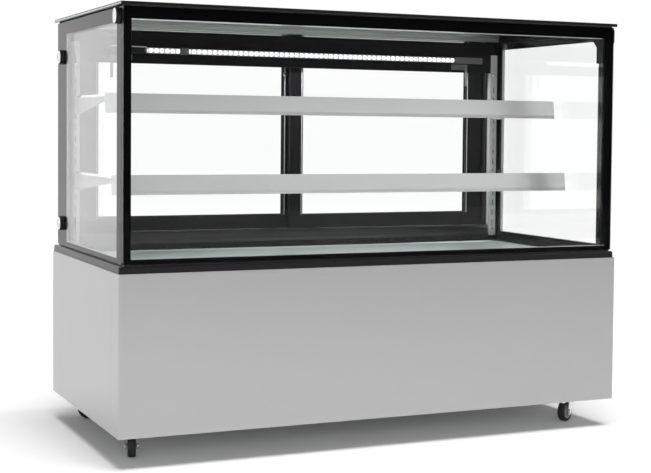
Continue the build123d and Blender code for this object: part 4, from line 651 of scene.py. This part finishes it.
class COUNTER_OT_steel(CounterOperator, bpy.types.Operator):
    """Brushed panels of the base, its frame, floor plate and screws"""
    bl_idname = "counter.steel"
    bl_label = "Steel base"

    def execute(self, context):
        wanted = context.scene.counter_steel
        coat(worked("brushed_steel", wanted.panel, 0.32, (3, 3, 900), metallic=1.0,
                    change=wanted.grain, gloss_change=0.06, broad=1.6, bump=0.03, depth=0.0001,
                    marks=0.04), "base_front_panel", "base_side_panels", "rear_service_panel")
        coat(zinced("zinced_sheet", (0.52, 0.53, 0.54)), "base_floor_plate")
        coat(worked("frame_paint", (0.055, 0.055, 0.06), 0.5, 400, change=0.3, bump=0.2,
                    depth=0.0003), "chassis_frame")
        self.screws(wanted.screw_head / MM)
        return {"FINISHED"}

    def screws(self, radius):
        """Pan heads with crossed recesses on short shanks; the recesses are dark crosses on the heads,
        painted shade.
        """
        metal, recess = bmesh.new(), bmesh.new()
        head = [(0.0, 0.0), (0.0, radius), (0.8, radius), (1.7, radius * 0.8), (2.2, radius * 0.45),
                (2.3, 0.0)]
        for middle, way in self.head_places(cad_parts["fixing_screws"].data):
            lathe(metal, head, middle, (0, way, 0), 20)
            bar(metal, middle, Vector(middle) - Vector((0, way * 9, 0)), 2.4)
            top = middle[1] + way * 2.32
            y0, y1 = sorted((top, top - way * 0.5))
            # Painted shade: dark crosses on the head's top stand in for the shade inside the recess.
            for long_x, long_z in ((2.4, 0.45), (0.45, 2.4)):
                box(recess, (middle[0] - long_x, y0, middle[2] - long_z),
                    (middle[0] + long_x, y1, middle[2] + long_z))
        made = piece("pan_head_screws", metal, screw_finish())
        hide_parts("fixing_screws")
        piece("screw_recess_shade", recess,
              worked("recess_shade", (0.02, 0.02, 0.02), 0.6, 500, change=0.2))

    def head_places(self, data):
        """Where the CAD screws have their heads, from the spread of each screw's own points."""
        mesh = bmesh.new()
        mesh.from_mesh(data)
        bmesh.ops.remove_doubles(mesh, verts=mesh.verts, dist=1e-6)
        left, places = set(mesh.verts), []
        while left:
            island, edge = set(), {left.pop()}
            while edge:
                vert = edge.pop()
                island.add(vert)
                edge |= {e.other_vert(vert) for e in vert.link_edges} - island
            left -= island
            points = [v.co / MM for v in island]
            xs, ys, zs = zip(*points)
            wide = [p.y for p in points
                    if max((q - p).length for q in points if abs(q.y - p.y) < 0.01) > 6.5]
            way = 1.0 if (min(wide) + max(wide)) > (min(ys) + max(ys)) else -1.0
            seat = min(wide) if way > 0 else max(wide)
            places.append((((min(xs) + max(xs)) / 2, seat, (min(zs) + max(zs)) / 2), way))
        mesh.free()
        return sorted(places)


class COUNTER_OT_glazing(CounterOperator, bpy.types.Operator):
    """Double glazing, its printed borders and spacer bars, the lid, sealant and moulding below"""
    bl_idname = "counter.glazing"
    bl_label = "Glazing"

    def execute(self, context):
        wanted = context.scene.counter_glass
        coat(clear_pane(), "front_glass")
        coat(pane_glass("side_pane", wanted.tint, wanted.side_ior), "side_glass")
        coat(worked("printed_border", wanted.border, 0.22, 700, change=0.4, bump=0.02, specular=0.3),
             "glass_borders")
        self.lid()
        coat(rubber_finish("seal_rubber", 0.008, 0.6), "lid_seal")
        self.spacers()
        self.beads(wanted.bead / MM)
        coat(worked("glossy_moulding", (0.006, 0.006, 0.007), 0.20, (200, 260, 260), change=0.3,
                    gloss_change=0.06, bump=0.03, depth=0.0001, marks=0.08, specular=0.22),
             "plinth_trim")
        return {"FINISHED"}

    def lid(self):
        """Black glass with a painted reflection: a light band on its polished left edge stands in for
        the bright surround mirrored there.
        """
        finish, tree, shader, place, look = grained("black_lid_glass", (0.008, 0.008, 0.009), 0.06, 30,
                                                    0.3, 0.03)
        parts = axes(tree, place)
        low, high = span("lid_glass")
        # Painted reflection: the band on the left edge gets a light colour where the polished edge
        # mirrors the bright surround.
        edge = maths(tree, "LESS_THAN", parts["X"], (low.x + 0.8) * MM)
        away = maths(tree, "ABSOLUTE", maths(tree, "SUBTRACT", parts["Z"], (low.z + 4.0) * MM))
        edge = maths(tree, "MULTIPLY", edge, maths(tree, "LESS_THAN", away, 0.0014))
        sky_reflection_colour = blend_colour(tree, edge, look["Colour"], (0.62, 0.72, 0.80, 1))
        feed(tree, shader, Base_Color=sky_reflection_colour, Specular_IOR_Level=0.4)
        mark(tree, shader, place, look["Roughness"], 0.10)
        coat(finish, "lid_glass")

    def spacers(self):
        """Satin bars with a row of vent holes in painted shade, and a painted highlight: a bright strip
        under the front's print for the header's lit underside mirrored in the glass.
        """
        finish, tree, shader, place, look = grained("spacer_bar", (0.46, 0.465, 0.47), 0.32, 90, 0.06,
                                                    0.06, 12.0)
        low, high = span("glass_spacers")
        # Painted shade: the vent holes are near-black dots on the bar's colour, standing in for the
        # shade inside them.
        holes = use(tree, dot_row(), Coordinate=place, Pitch=0.006, Height=(high.z - 4) * MM,
                    Radius=0.0007, Softness=0.3)
        hole_shaded_colour = blend_colour(tree, holes["Mask"], look["Colour"], (0.02, 0.02, 0.02, 1))
        feed(tree, shader, Base_Color=hole_shaded_colour, Metallic=1.0)
        coat(finish, "glass_spacers")
        low, high = span("front_glass")
        mesh = bmesh.new()
        # Painted highlight: a bright non-metal strip at the spacer's lower edge stands in for the
        # header's lit underside mirrored in the front glass.
        box(mesh, (-692, low.y + 7, SPACER_HIGHLIGHT_FOOT), (700, high.y - 7, SPACER_HIGHLIGHT_TOP), 0.3, 1)
        piece("front_spacer_painted_highlight", mesh,
              worked("spacer_edge", (0.74, 0.77, 0.76), 0.35, (6, 300, 300), change=0.1))

    def beads(self, size):
        """Sealant in the inner corners, with a rounded face."""
        inner_x = span("side_glass")[1].x - 20.0
        foot, front_y = span("front_glass")[0].z, span("front_glass")[1].y
        top = span("glass_corner_brackets")[0].z
        mesh = bmesh.new()
        turns = [math.pi / 2 * k / 4 for k in range(5)]
        curve = [(size * (1 - math.sin(a)), size * (1 - math.cos(a))) for a in turns]
        for side in (-1, 1):
            outline = [(side * inner_x, front_y, foot)] + [
                (side * (inner_x - u), front_y + v, foot) for u, v in curve]
            prism(mesh, outline, (0, 0, top - foot))
        outline = [(-inner_x, front_y, foot)] + [
            (-inner_x, front_y + u, foot + v) for u, v in curve]
        prism(mesh, outline, (2 * inner_x, 0, 0))
        piece("sealant_beads", mesh,
              worked("black_sealant", (0.010, 0.010, 0.010), 0.42, 120, change=0.3, bump=0.3,
                     depth=0.0004), 60)


class COUNTER_OT_fixings(CounterOperator, bpy.types.Operator):
    """Round caps on the side glass and the plates behind them"""
    bl_idname = "counter.fixings"
    bl_label = "Glass fixings"

    def execute(self, context):
        coat(worked("black_cap", (0.012, 0.012, 0.013), 0.30, 500, change=0.3, bump=0.06, marks=0.1),
             "glass_fixing_caps")
        coat(worked("black_plate", (0.012, 0.012, 0.013), 0.4, 500, change=0.3, bump=0.12, marks=0.1),
             "glass_corner_brackets")
        self.caps()
        return {"FINISHED"}

    def caps(self):
        """A soft washer under each cap, and a spun bright face with a groove ring on it, the groove
        painted darker as its shade.
        """
        washers, grooves, faces = bmesh.new(), bmesh.new(), bmesh.new()
        face = span("glass_fixing_caps")[1].x
        glass = span("side_glass")[1].x
        for side in (-1, 1):
            for y, z in CAP_PLACES:
                lathe(faces, [(-0.3, 0.0), (-0.3, 18.8), (0.2, 19.0), (0.5, 18.4), (0.6, 0.0)],
                      (side * face, y, z), (side, 0, 0), 40)
                ring(grooves, (side * (face + 0.5), y, z), (1, 0, 0), 12.5, 0.35, 36, 6)
                lathe(washers, [(-0.2, 21.0), (0.0, 21.9), (0.9, 21.9), (1.1, 21.0)],
                      (side * glass + (0.2 if side > 0 else -1.1), y, z), (1, 0, 0), 36)
        piece("cap_washers", washers, worked("soft_washer", (0.02, 0.02, 0.02), 0.5, 400, change=0.2))
        piece("cap_faces", faces,
              worked("spun_chrome", (0.86, 0.86, 0.87), 0.20, 1400, metallic=1.0, change=0.08,
                     gloss_change=0.12, bump=0.03, marks=0.1))
        # Painted shade: the darker metal ring stands in for the shade in the groove.
        piece("cap_groove_shade", grooves,
              worked("ring_shade", (0.45, 0.45, 0.46), 0.25, 900, metallic=1.0, change=0.2))


class COUNTER_OT_doors(CounterOperator, bpy.types.Operator):
    """Sliding doors with their tracks, posts, brush seals, beading, keeper and board hangers"""
    bl_idname = "counter.doors"
    bl_label = "Sliding doors"

    def execute(self, context):
        wanted = context.scene.counter_trim
        coat(worked("black_anodised", (0.006, 0.006, 0.007), 0.34, (8, 8, 500), change=0.3, bump=0.05,
                    marks=0.1, specular=0.25), "left_door_frame", "right_door_frame")
        coat(clear_pane(), "left_door_glass", "right_door_glass")
        coat(worked("black_moulding", wanted.black, 0.32, 260, change=0.35, gloss_change=0.12,
                    bump=0.06, depth=0.00015, marks=0.12, specular=0.2),
             "left_door_fittings", "right_door_fittings", "rear_jambs")
        coat(worked("polished_black", wanted.black, 0.13, (90, 260, 260), change=0.3,
                    gloss_change=0.05, bump=0.02, depth=0.0001, marks=0.06, coat_weight=0.6),
             "lower_door_track")
        coat(worked("plain_aluminium", (0.56, 0.60, 0.57), 0.38, (6, 300, 300), metallic=0.7,
                    bump=0.06, marks=0.06), "upper_door_track")
        self.edges()
        self.brackets()
        self.brushes(wanted.brush / MM)
        self.keeper()
        self.gaskets()
        return {"FINISHED"}

    def edges(self):
        """Thin light lines along the inner edges of the doors' stiles: painted highlights where those
        edges catch the light.
        """
        # Painted highlight: a light colour on thin strips along the stiles' inner edges stands in for
        # the light those edges catch.
        edge_highlight = worked("satin_edge", (0.62, 0.63, 0.63), 0.35, (300, 300, 8), bump=0.05)
        for side in ("left", "right"):
            low, high = span(side + "_door_glass")
            front = span(side + "_door_frame")[0].y
            mesh = bmesh.new()
            for x0, x1 in ((low.x - 3.5, low.x - 1.0), (high.x + 1.0, high.x + 3.5)):
                box(mesh, (x0, front - 0.5, low.z), (x1, front + 0.4, high.z), 0.3, 1)
            piece(side + "_door_edge_highlights", mesh, edge_highlight, body=side + "_door")

    def brackets(self):
        """Angle plates that hang the light board at both ends."""
        foot, front = span("light_fascia")[0].z, span("light_fascia")[0].y
        mesh = bmesh.new()
        for side in (-1, 1):
            outline = [(538, 26), (598, 26), (598, -44), (589, -44), (589, 8), (538, 8)]
            prism(mesh, [(side * x, front - 1.2, foot + z) for x, z in outline], (0, 1.2, 0))
            for z in (foot + 12.5, foot + 17.0, foot + 21.5):
                bar(mesh, (side * 540, front - 1.3, z), (side * 588, front - 1.3, z), 0.8, sides=8)
        piece("fascia_brackets", mesh,
              worked("bracket_grey", (0.16, 0.165, 0.165), 0.4, 300, metallic=0.4, change=0.15,
                     bump=0.08))

    def brushes(self, reach):
        """Pile strips that close the slit between the two doors."""
        pile = worked("brush_pile", (0.03, 0.03, 0.032), 0.85, (900, 900, 60), change=0.7, bump=0.8,
                      depth=0.001)
        top = span("upper_door_track")[0].z - 1.0
        right, left = span("right_door_frame"), span("left_door_frame")
        near, far = right[1].y, left[0].y
        for side, x, pile_y, backing in (
                ("right", right[0].x + 9, (near, near + reach), (near, near + 0.9)),
                ("left", left[1].x - 9, (far - reach, far), (far - 0.9, far))):
            foot = span(side + "_door_frame")[0].z + 4
            mesh = bmesh.new()
            box(mesh, (x - 2.2, pile_y[0], foot), (x + 2.2, pile_y[1], top), 0.9, 2)
            box(mesh, (x - 4.5, backing[0], foot), (x + 4.5, backing[1], top), 0.3, 1)
            piece(side + "_door_brush", mesh, pile, body=side + "_door")

    def keeper(self):
        """A small bright keeper with two screws at the head of the left door's inner stile."""
        low, high = span("left_door_frame")
        x, z, face = high.x - 38.5, KEEPER_HEIGHT, low.y - 1.6
        mesh = bmesh.new()
        box(mesh, (x - 6, face, z - 5), (x + 6, low.y, z + 5), 0.5, 2)
        for outline, place in (([(0, 0), (0, 2.4), (0.8, 2.1), (1.3, 0)], (x - 2.6, face, z + 1)),
                               ([(0, 0), (0, 1.8), (0.6, 1.6), (0.9, 0)], (x + 3.2, face, z - 1.4))):
            lathe(mesh, outline, place, (0, -1, 0), 16)
        piece("left_door_keeper", mesh, screw_finish(), body="left_door")

    def gaskets(self):
        """Rubber beading at the sides and the foot of each door's panes."""
        rubber = rubber_finish("glazing_rubber", 0.012, 0.55)
        for side in ("left", "right"):
            low, high = span(side + "_door_glass")
            runs = ((low.x, low.x + 3, high.z), (high.x - 3, high.x, high.z),
                    (low.x, high.x, low.z + 3))
            mesh = bmesh.new()
            for y0, y1 in ((low.y - 1.6, low.y), (high.y, high.y + 1.6)):
                for x0, x1, top in runs:
                    box(mesh, (x0, y0, low.z), (x1, y1, top), 0.7, 2)
            piece(side + "_door_beading", mesh, rubber, body=side + "_door")


class COUNTER_OT_lighting(CounterOperator, bpy.types.Operator):
    """Light board, lit tubes and their holders"""
    bl_idname = "counter.lighting"
    bl_label = "Lighting"

    def execute(self, context):
        coat(worked("black_board", (0.004, 0.004, 0.005), 0.38, 300, change=0.3, bump=0.08,
                    specular=0.2), "light_fascia")
        self.holders()
        self.tubes(context.scene.counter_light)
        self.end_caps()
        return {"FINISHED"}

    def holders(self):
        """A black holder at the left, grey ones elsewhere, and the white lead to the first tube."""
        finish, tree, shader, place, look = grained("holder_shell", (0.16, 0.165, 0.165), 0.45, 300,
                                                    0.2)
        side = maths(tree, "LESS_THAN", axes(tree, place)["X"], -0.45)
        tone = blend_colour(tree, side, (0.16, 0.165, 0.165, 1), (0.006, 0.006, 0.007, 1))
        put(tree, look["Colour"].node.inputs["Colour"], tone)
        relief(tree, shader, look["Height"], 0.15, 0.0002)
        coat(finish, "lamp_holders")
        low, high = span("lamp_holders")
        start = span("led_tubes")[0].x
        mesh = bmesh.new()
        bar(mesh, (low.x + 3, low.y - 1.4, high.z + 0.4), (start + 2, low.y - 1.4, high.z - 1.0), 1.5,
            sides=12)
        piece("tube_lead", mesh, worked("white_lead", (0.80, 0.82, 0.84), 0.4, 300))

    def tubes(self, wanted):
        """Frosted tubes with a row of soft lit diodes."""
        finish, tree, shader, place, look = grained("lit_tube", (0.80, 0.84, 0.85), 0.3, 120, 0.05,
                                                    broad=20.0)
        dots = use(tree, dot_row(), Coordinate=place, Pitch=wanted.diode_pitch,
                   Height=centre("led_tubes").z * MM, Radius=0.0080, Softness=1.0)
        dim = tuple(0.05 * part for part in wanted.diode) + (1.0,)
        lit = blend_colour(tree, dots["Mask"], dim, (*wanted.diode, 1.0))
        feed(tree, shader, Emission_Color=lit, Emission_Strength=wanted.strength)
        coat(finish, "led_tubes")

    def end_caps(self):
        """Grey caps at the ends of the tubes."""
        xs = sorted({round(v.co.x / MM, 1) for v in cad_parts["led_tubes"].data.vertices})
        middle = centre("led_tubes")
        widest = sorted((b - a, a, b) for a, b in zip(xs, xs[1:]))[-3:]
        ends = [xs[0], xs[-1]]
        for gap, a, b in widest:
            if 2 < gap < 60:
                ends += [a, b]
        mesh = bmesh.new()
        for x in ends:
            lathe(mesh, [(-4.0, 8.3), (-4.0, 7.0), (4.0, 7.0), (4.0, 8.3)], (x, middle.y, middle.z),
                  (1, 0, 0), 28)
        piece("tube_end_caps", mesh, worked("grey_holder", (0.30, 0.30, 0.31), 0.45, 300))


class COUNTER_OT_shelves(CounterOperator, bpy.types.Operator):
    """Glass shelves with their rails, posts and brackets"""
    bl_idname = "counter.shelves"
    bl_label = "Shelves"

    def execute(self, context):
        wanted = context.scene.counter_trim
        coat(clear_pane(), "shelf_glass")
        rail = worked("rail_aluminium", wanted.rail, 0.34, (5, 500, 500), metallic=0.85, change=0.06,
                      gloss_change=0.08, broad=3.0, bump=0.04, marks=0.05)
        coat(rail, "shelf_rails")
        coat(worked("rack_paint", wanted.rack, 0.40, 500, bump=0.15, depth=0.0003, marks=0.1),
             "shelf_uprights", "shelf_brackets")
        self.rail_ends(rail)
        return {"FINISHED"}

    def rail_ends(self, rail):
        """Thin end plates on both rails, with the lean of the rail."""
        mesh = bmesh.new()
        for rail_top, front in RAIL_TOPS_AND_FRONTS:
            foot, top = rail_top - 51.0, rail_top + 3.0
            outline = [(front, foot), (front + 6, foot), (front + 14, top), (front + 8, top)]
            for side in (-1, 1):
                prism(mesh, [(side * RAIL_END_X, y, z) for y, z in outline], (side * 1.2, 0, 0))
        piece("rail_end_plates", mesh, rail)


class COUNTER_OT_cold_side(CounterOperator, bpy.types.Operator):
    """Deck, cold well, coils and fans"""
    bl_idname = "counter.cold_side"
    bl_label = "Cold side"

    def execute(self, context):
        coat(worked("deck_steel", context.scene.counter_steel.deck, 0.30, (3, 700, 700), metallic=0.35,
                    change=0.08, gloss_change=0.08, broad=2.0, bump=0.03, marks=0.08), "display_deck")
        coat(worked("tub_liner", (0.74, 0.75, 0.75), 0.35, 60, change=0.05, marks=0.15),
             "insulated_well")
        coat(worked("coil_fins", (0.60, 0.61, 0.63), 0.4, (700, 12, 12), metallic=1.0, change=0.35,
                    bump=0.4, depth=0.0006), "evaporator_coil", "condenser_coil")
        coat(worked("fan_plastic", (0.035, 0.035, 0.038), 0.4, 300, change=0.25, bump=0.12),
             "evaporator_fan_left", "evaporator_fan_right", "condenser_fan")
        self.lip()
        self.bends()
        self.guards(context.scene.counter_gear.guard_wire / MM)
        return {"FINISHED"}

    def lip(self):
        """A rounded polished lip along the rear edge of the deck."""
        low, high = span("display_deck")
        y, z = high.y - 3.5, high.z - 0.6
        mesh = bmesh.new()
        bar(mesh, (low.x + 1, y, z), (high.x - 1, y, z), 4.2, sides=24)
        piece("deck_lip", mesh,
              worked("lip_steel", (0.66, 0.70, 0.68), 0.12, (4, 500, 500), metallic=1.0, change=0.08,
                     gloss_change=0.04, bump=0.02), 60)

    def bends(self):
        """Copper return bends at both ends of the evaporator."""
        mesh = bmesh.new()
        for side in (-1, 1):
            for y in (96.0, 124.0):
                for z in (380.0, 412.0, 444.0):
                    bend(mesh, (side * EVAPORATOR_END_X, y, z), (0, -side, 0))
        piece("evaporator_bends", mesh, copper_finish(), 60)

    def guards(self, wire):
        """Wire guards on the evaporator fans."""
        x, y, z = EVAPORATOR_FAN
        mesh = bmesh.new()
        for side in (-1, 1):
            fan_guard(mesh, (side * x, y, z), (18.0, 30.0, 42.0, 54.0), 58.5, 4.2, wire, wire, 32)
        piece("evaporator_fan_guards", mesh, screw_finish(), 60)


class COUNTER_OT_warm_side(CounterOperator, bpy.types.Operator):
    """Condensing set, pipes, tray and electrical box"""
    bl_idname = "counter.warm_side"
    bl_label = "Warm side"

    def execute(self, context):
        paint = worked("compressor_paint", (0.016, 0.016, 0.017), 0.3, 160, change=0.3,
                       gloss_change=0.15, bump=0.15, depth=0.0006, coat_weight=0.3)
        coat(paint, "compressor")
        coat(copper_finish(), "refrigerant_pipes")
        coat(worked("tray_plastic", (0.22, 0.23, 0.24), 0.5, 120, change=0.15, bump=0.2),
             "condensate_tray")
        coat(worked("box_plastic", (0.40, 0.41, 0.42), 0.5, 260, bump=0.25), "electrical_box")
        self.compressor_details(paint)
        self.condenser_details(context.scene.counter_gear.guard_wire / MM)
        return {"FINISHED"}

    def compressor_details(self, paint):
        """Weld seam round the shell, a sealed stub and the foot bolts."""
        x, y = COMPRESSOR_X, COMPRESSOR_Y
        mesh = bmesh.new()
        ring(mesh, (x, y, 176.0), (0, 0, 1), 78.4, 1.6, 56, 8)
        ring(mesh, (x, y, 182.0), (0, 0, 1), 78.1, 1.1, 56, 8)
        bar(mesh, (x + 40, y - 72, 118), (x + 47, y - 86, 118), 5)
        bar(mesh, (x + 47, y - 86, 118), (x + 52, y - 96, 118), 3.2, 2.4)
        piece("compressor_seam", mesh, paint, 60)
        metal = bmesh.new()
        for sx, sy in FOUR_SIGNS:
            foot, nut, tip = [(x + sx * 78, y + sy * 33, z) for z in (92.0, 97.0, 101.0)]
            bar(metal, foot, nut, 6.2, sides=6)
            bar(metal, nut, tip, 3.0)
        piece("compressor_bolts", metal, screw_finish())

    def condenser_details(self, wire):
        """Return bends on the condenser and the guard in front of its fan."""
        mesh = bmesh.new()
        for side in (-1, 1):
            for y in (284.0, 298.0):
                for k in range(6):
                    x = CONDENSER_FAN[0] + side * CONDENSER_HALF_LENGTH
                    bend(mesh, (x, y, 104.0 + 32.0 * k), (0, -side, 0))
        piece("condenser_bends", mesh, copper_finish(), 60)
        guard = bmesh.new()
        fan_guard(guard, CONDENSER_FAN, (24.0, 36.0, 48.0, 60.0, 72.0, 84.0, 92.0), 97, 24.2, wire,
                  wire * 1.3, 40)
        piece("condenser_fan_guard", guard, screw_finish(), 60)


class COUNTER_OT_controls(CounterOperator, bpy.types.Operator):
    """Controller, buttons and rocker switches"""
    bl_idname = "counter.controls"
    bl_label = "Controls"

    def execute(self, context):
        coat(worked("control_black", (0.022, 0.022, 0.024), 0.4, 600, change=0.25, bump=0.2, marks=0.1),
             "control_housings")
        coat(worked("button_grey", (0.24, 0.25, 0.26), 0.42, 600, change=0.15, bump=0.15),
             "up_button", "set_button", "down_button")
        coat(worked("switch_green", (0.03, 0.30, 0.09), 0.22, 300, change=0.15, bump=0.05),
             "power_switch")
        coat(worked("switch_black", (0.02, 0.02, 0.02), 0.25, 300, change=0.2, bump=0.05),
             "light_switch")
        self.display(span("control_housings")[1].y)
        return {"FINISHED"}

    def display(self, face):
        """A smoked window with two lit figures made of strokes."""
        x, z = CONTROLLER_X, CONTROLLER_Z
        window, digits = bmesh.new(), bmesh.new()
        box(window, (x - 16.6, face - 1.0, z - 8.1), (x + 16.6, face - 0.2, z + 8.1), 0.3, 2)
        piece("display_window", window,
              worked("smoked_window", (0.03, 0.006, 0.005), 0.08, 90, change=0.2, bump=0.0))
        strokes = {"a": ((-3, 5.2), (3, 5.2)), "g": ((-3, 0), (3, 0)), "d": ((-3, -5.2), (3, -5.2)),
                   "b": ((3.4, 4.8), (3.4, 0.5)), "c": ((3.4, -0.5), (3.4, -4.8)),
                   "f": ((-3.4, 4.8), (-3.4, 0.5)), "e": ((-3.4, -0.5), (-3.4, -4.8))}
        for x, shown in ((560.0, "abgcd"), (547.5, "abcdef")):
            for name in shown:
                start, end = [(x - u, face - 0.35, z + v) for u, v in strokes[name]]
                bar(digits, start, end, 0.62, sides=8)
        finish, tree, shader, place = start_finish("lit_figure")
        look = use(tree, worked_surface(), Coordinate=place, Colour=(1.0, 0.12, 0.05, 1),
                   Stretch=(900, 900, 900), Colour_Change=0.2, Roughness=0.4, Roughness_Change=0.1)
        feed(tree, shader, Base_Color=look["Colour"], Emission_Color=look["Colour"],
             Emission_Strength=1.4)
        piece("display_figures", digits, finish)


class COUNTER_OT_casters(CounterOperator, bpy.types.Operator):
    """Casters: tyres, rims, forks, plates, bolts and brakes"""
    bl_idname = "counter.casters"
    bl_label = "Casters"

    def execute(self, context):
        wanted = context.scene.counter_gear
        zinc = worked("bright_zinc", (0.72, 0.73, 0.74), 0.26, 260, metallic=1.0, change=0.16,
                      gloss_change=0.18, broad=30.0, bump=0.08, marks=0.1)
        forks = ["caster_fork_" + corner for corner in CORNERS]
        coat(zinc, "caster_plates", "brake_pedal_front_left", "brake_pedal_front_right", *forks)
        tread = worked("tyre_rubber", wanted.tread, 0.62, 300, change=0.35, gloss_change=0.2, bump=0.3,
                       depth=0.0005, marks=0.15)
        rim = worked("rim_plastic", wanted.rim, 0.42, 260, change=0.12, bump=0.15)
        for corner in CORNERS:
            self.wheel(corner, tread, rim)
        self.bolts()
        return {"FINISHED"}

    def wheel(self, corner, tread, rim):
        """A rounded tyre on a dished centre with five ribs on each side."""
        body = "caster_wheel_" + corner
        middle = centre(body)
        axis = self.axle(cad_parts[body].data, middle)
        tyre, disc = bmesh.new(), bmesh.new()
        lathe(tyre, [(-11, 21.2), (-11, 25.0), (-10.2, 27.6), (-8.2, 29.3), (-5, 29.95), (0, 30.0),
                     (5, 29.95), (8.2, 29.3), (10.2, 27.6), (11, 25.0), (11, 21.2), (8.5, 20.6),
                     (-8.5, 20.6)], middle, axis, 56)
        made = piece("tyre_" + corner, tyre, tread, 60, body)
        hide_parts(body)
        lathe(disc, [(-13.7, 4.1), (-13.7, 7.0), (-9.5, 7.6), (-8.0, 9.5), (-8.0, 17.2), (-9.8, 18.6),
                     (-10.6, 20.7), (10.6, 20.7), (9.8, 18.6), (8.0, 17.2), (8.0, 9.5), (9.5, 7.6),
                     (13.7, 7.0), (13.7, 4.1)], middle, axis, 56)
        out = axis.cross(Vector((0, 0, 1)))
        for k in range(5):
            a = math.tau * k / 5
            way = out * math.cos(a) + Vector((0, 0, 1)) * math.sin(a)
            for side in (-1, 1):
                face = axis * side * 8.4
                bar(disc, middle + way * 8.2 + face, middle + way * 18.4 + face, 1.3, sides=8)
        piece("rim_" + corner, disc, rim, 40, body)

    def axle(self, data, middle):
        """Direction of the wheel's axle: the way in which its points spread least."""
        points = [v.co / MM - middle for v in data.vertices]

        def spread(degrees):
            a = math.radians(degrees)
            return sum((p.x * math.cos(a) + p.y * math.sin(a)) ** 2 for p in points)

        best = math.radians(min(range(180), key=spread))
        return Vector((math.cos(best), math.sin(best), 0))

    def bolts(self):
        """Hexagon bolts under each caster plate and a cover ring on its ball race."""
        metal = bmesh.new()
        for x, y in CASTER_PLACES:
            for sx, sy in FOUR_SIGNS:
                place = Vector((x + sx * 25.0, y + sy * 25.0, CASTER_PLATE_FOOT))
                bar(metal, place, place - Vector((0, 0, 2.9)), 4.6, sides=6)
            ring(metal, (x, y, CASTER_PLATE_FOOT - 2.1), (0, 0, 1), 22.4, 0.9, 40, 8)
        piece("caster_bolts", metal, screw_finish(), 40)


OPERATORS = (COUNTER_OT_studio, COUNTER_OT_steel, COUNTER_OT_glazing, COUNTER_OT_fixings,
             COUNTER_OT_doors, COUNTER_OT_lighting, COUNTER_OT_shelves, COUNTER_OT_cold_side,
             COUNTER_OT_warm_side, COUNTER_OT_controls, COUNTER_OT_casters)


class COUNTER_PT_panel(bpy.types.Panel):
    """Everything that finishes the counter"""
    bl_idname = "COUNTER_PT_panel"
    bl_label = "Display counter"
    bl_space_type = "VIEW_3D"
    bl_region_type = "UI"
    bl_category = "Counter"

    def draw(self, context):
        for name in GROUPS:
            group = getattr(context.scene, name)
            column = self.layout.column(heading=name.replace("_", " ").capitalize())
            for label in group.__annotations__:
                column.prop(group, label)
        for operator in OPERATORS:
            self.layout.operator(operator.bl_idname)


def register():
    for group in (*GROUPS.values(), *OPERATORS, COUNTER_PT_panel):
        bpy.utils.register_class(group)
    for name, group in GROUPS.items():
        setattr(bpy.types.Scene, name, bpy.props.PointerProperty(type=group))


def unregister():
    for name in GROUPS:
        delattr(bpy.types.Scene, name)
    for group in reversed((*GROUPS.values(), *OPERATORS, COUNTER_PT_panel)):
        bpy.utils.unregister_class(group)


def main():
    register()
    for operator in OPERATORS:
        family, name = operator.bl_idname.split(".")
        getattr(getattr(bpy.ops, family), name)()


if __name__ == "__main__":
    main()
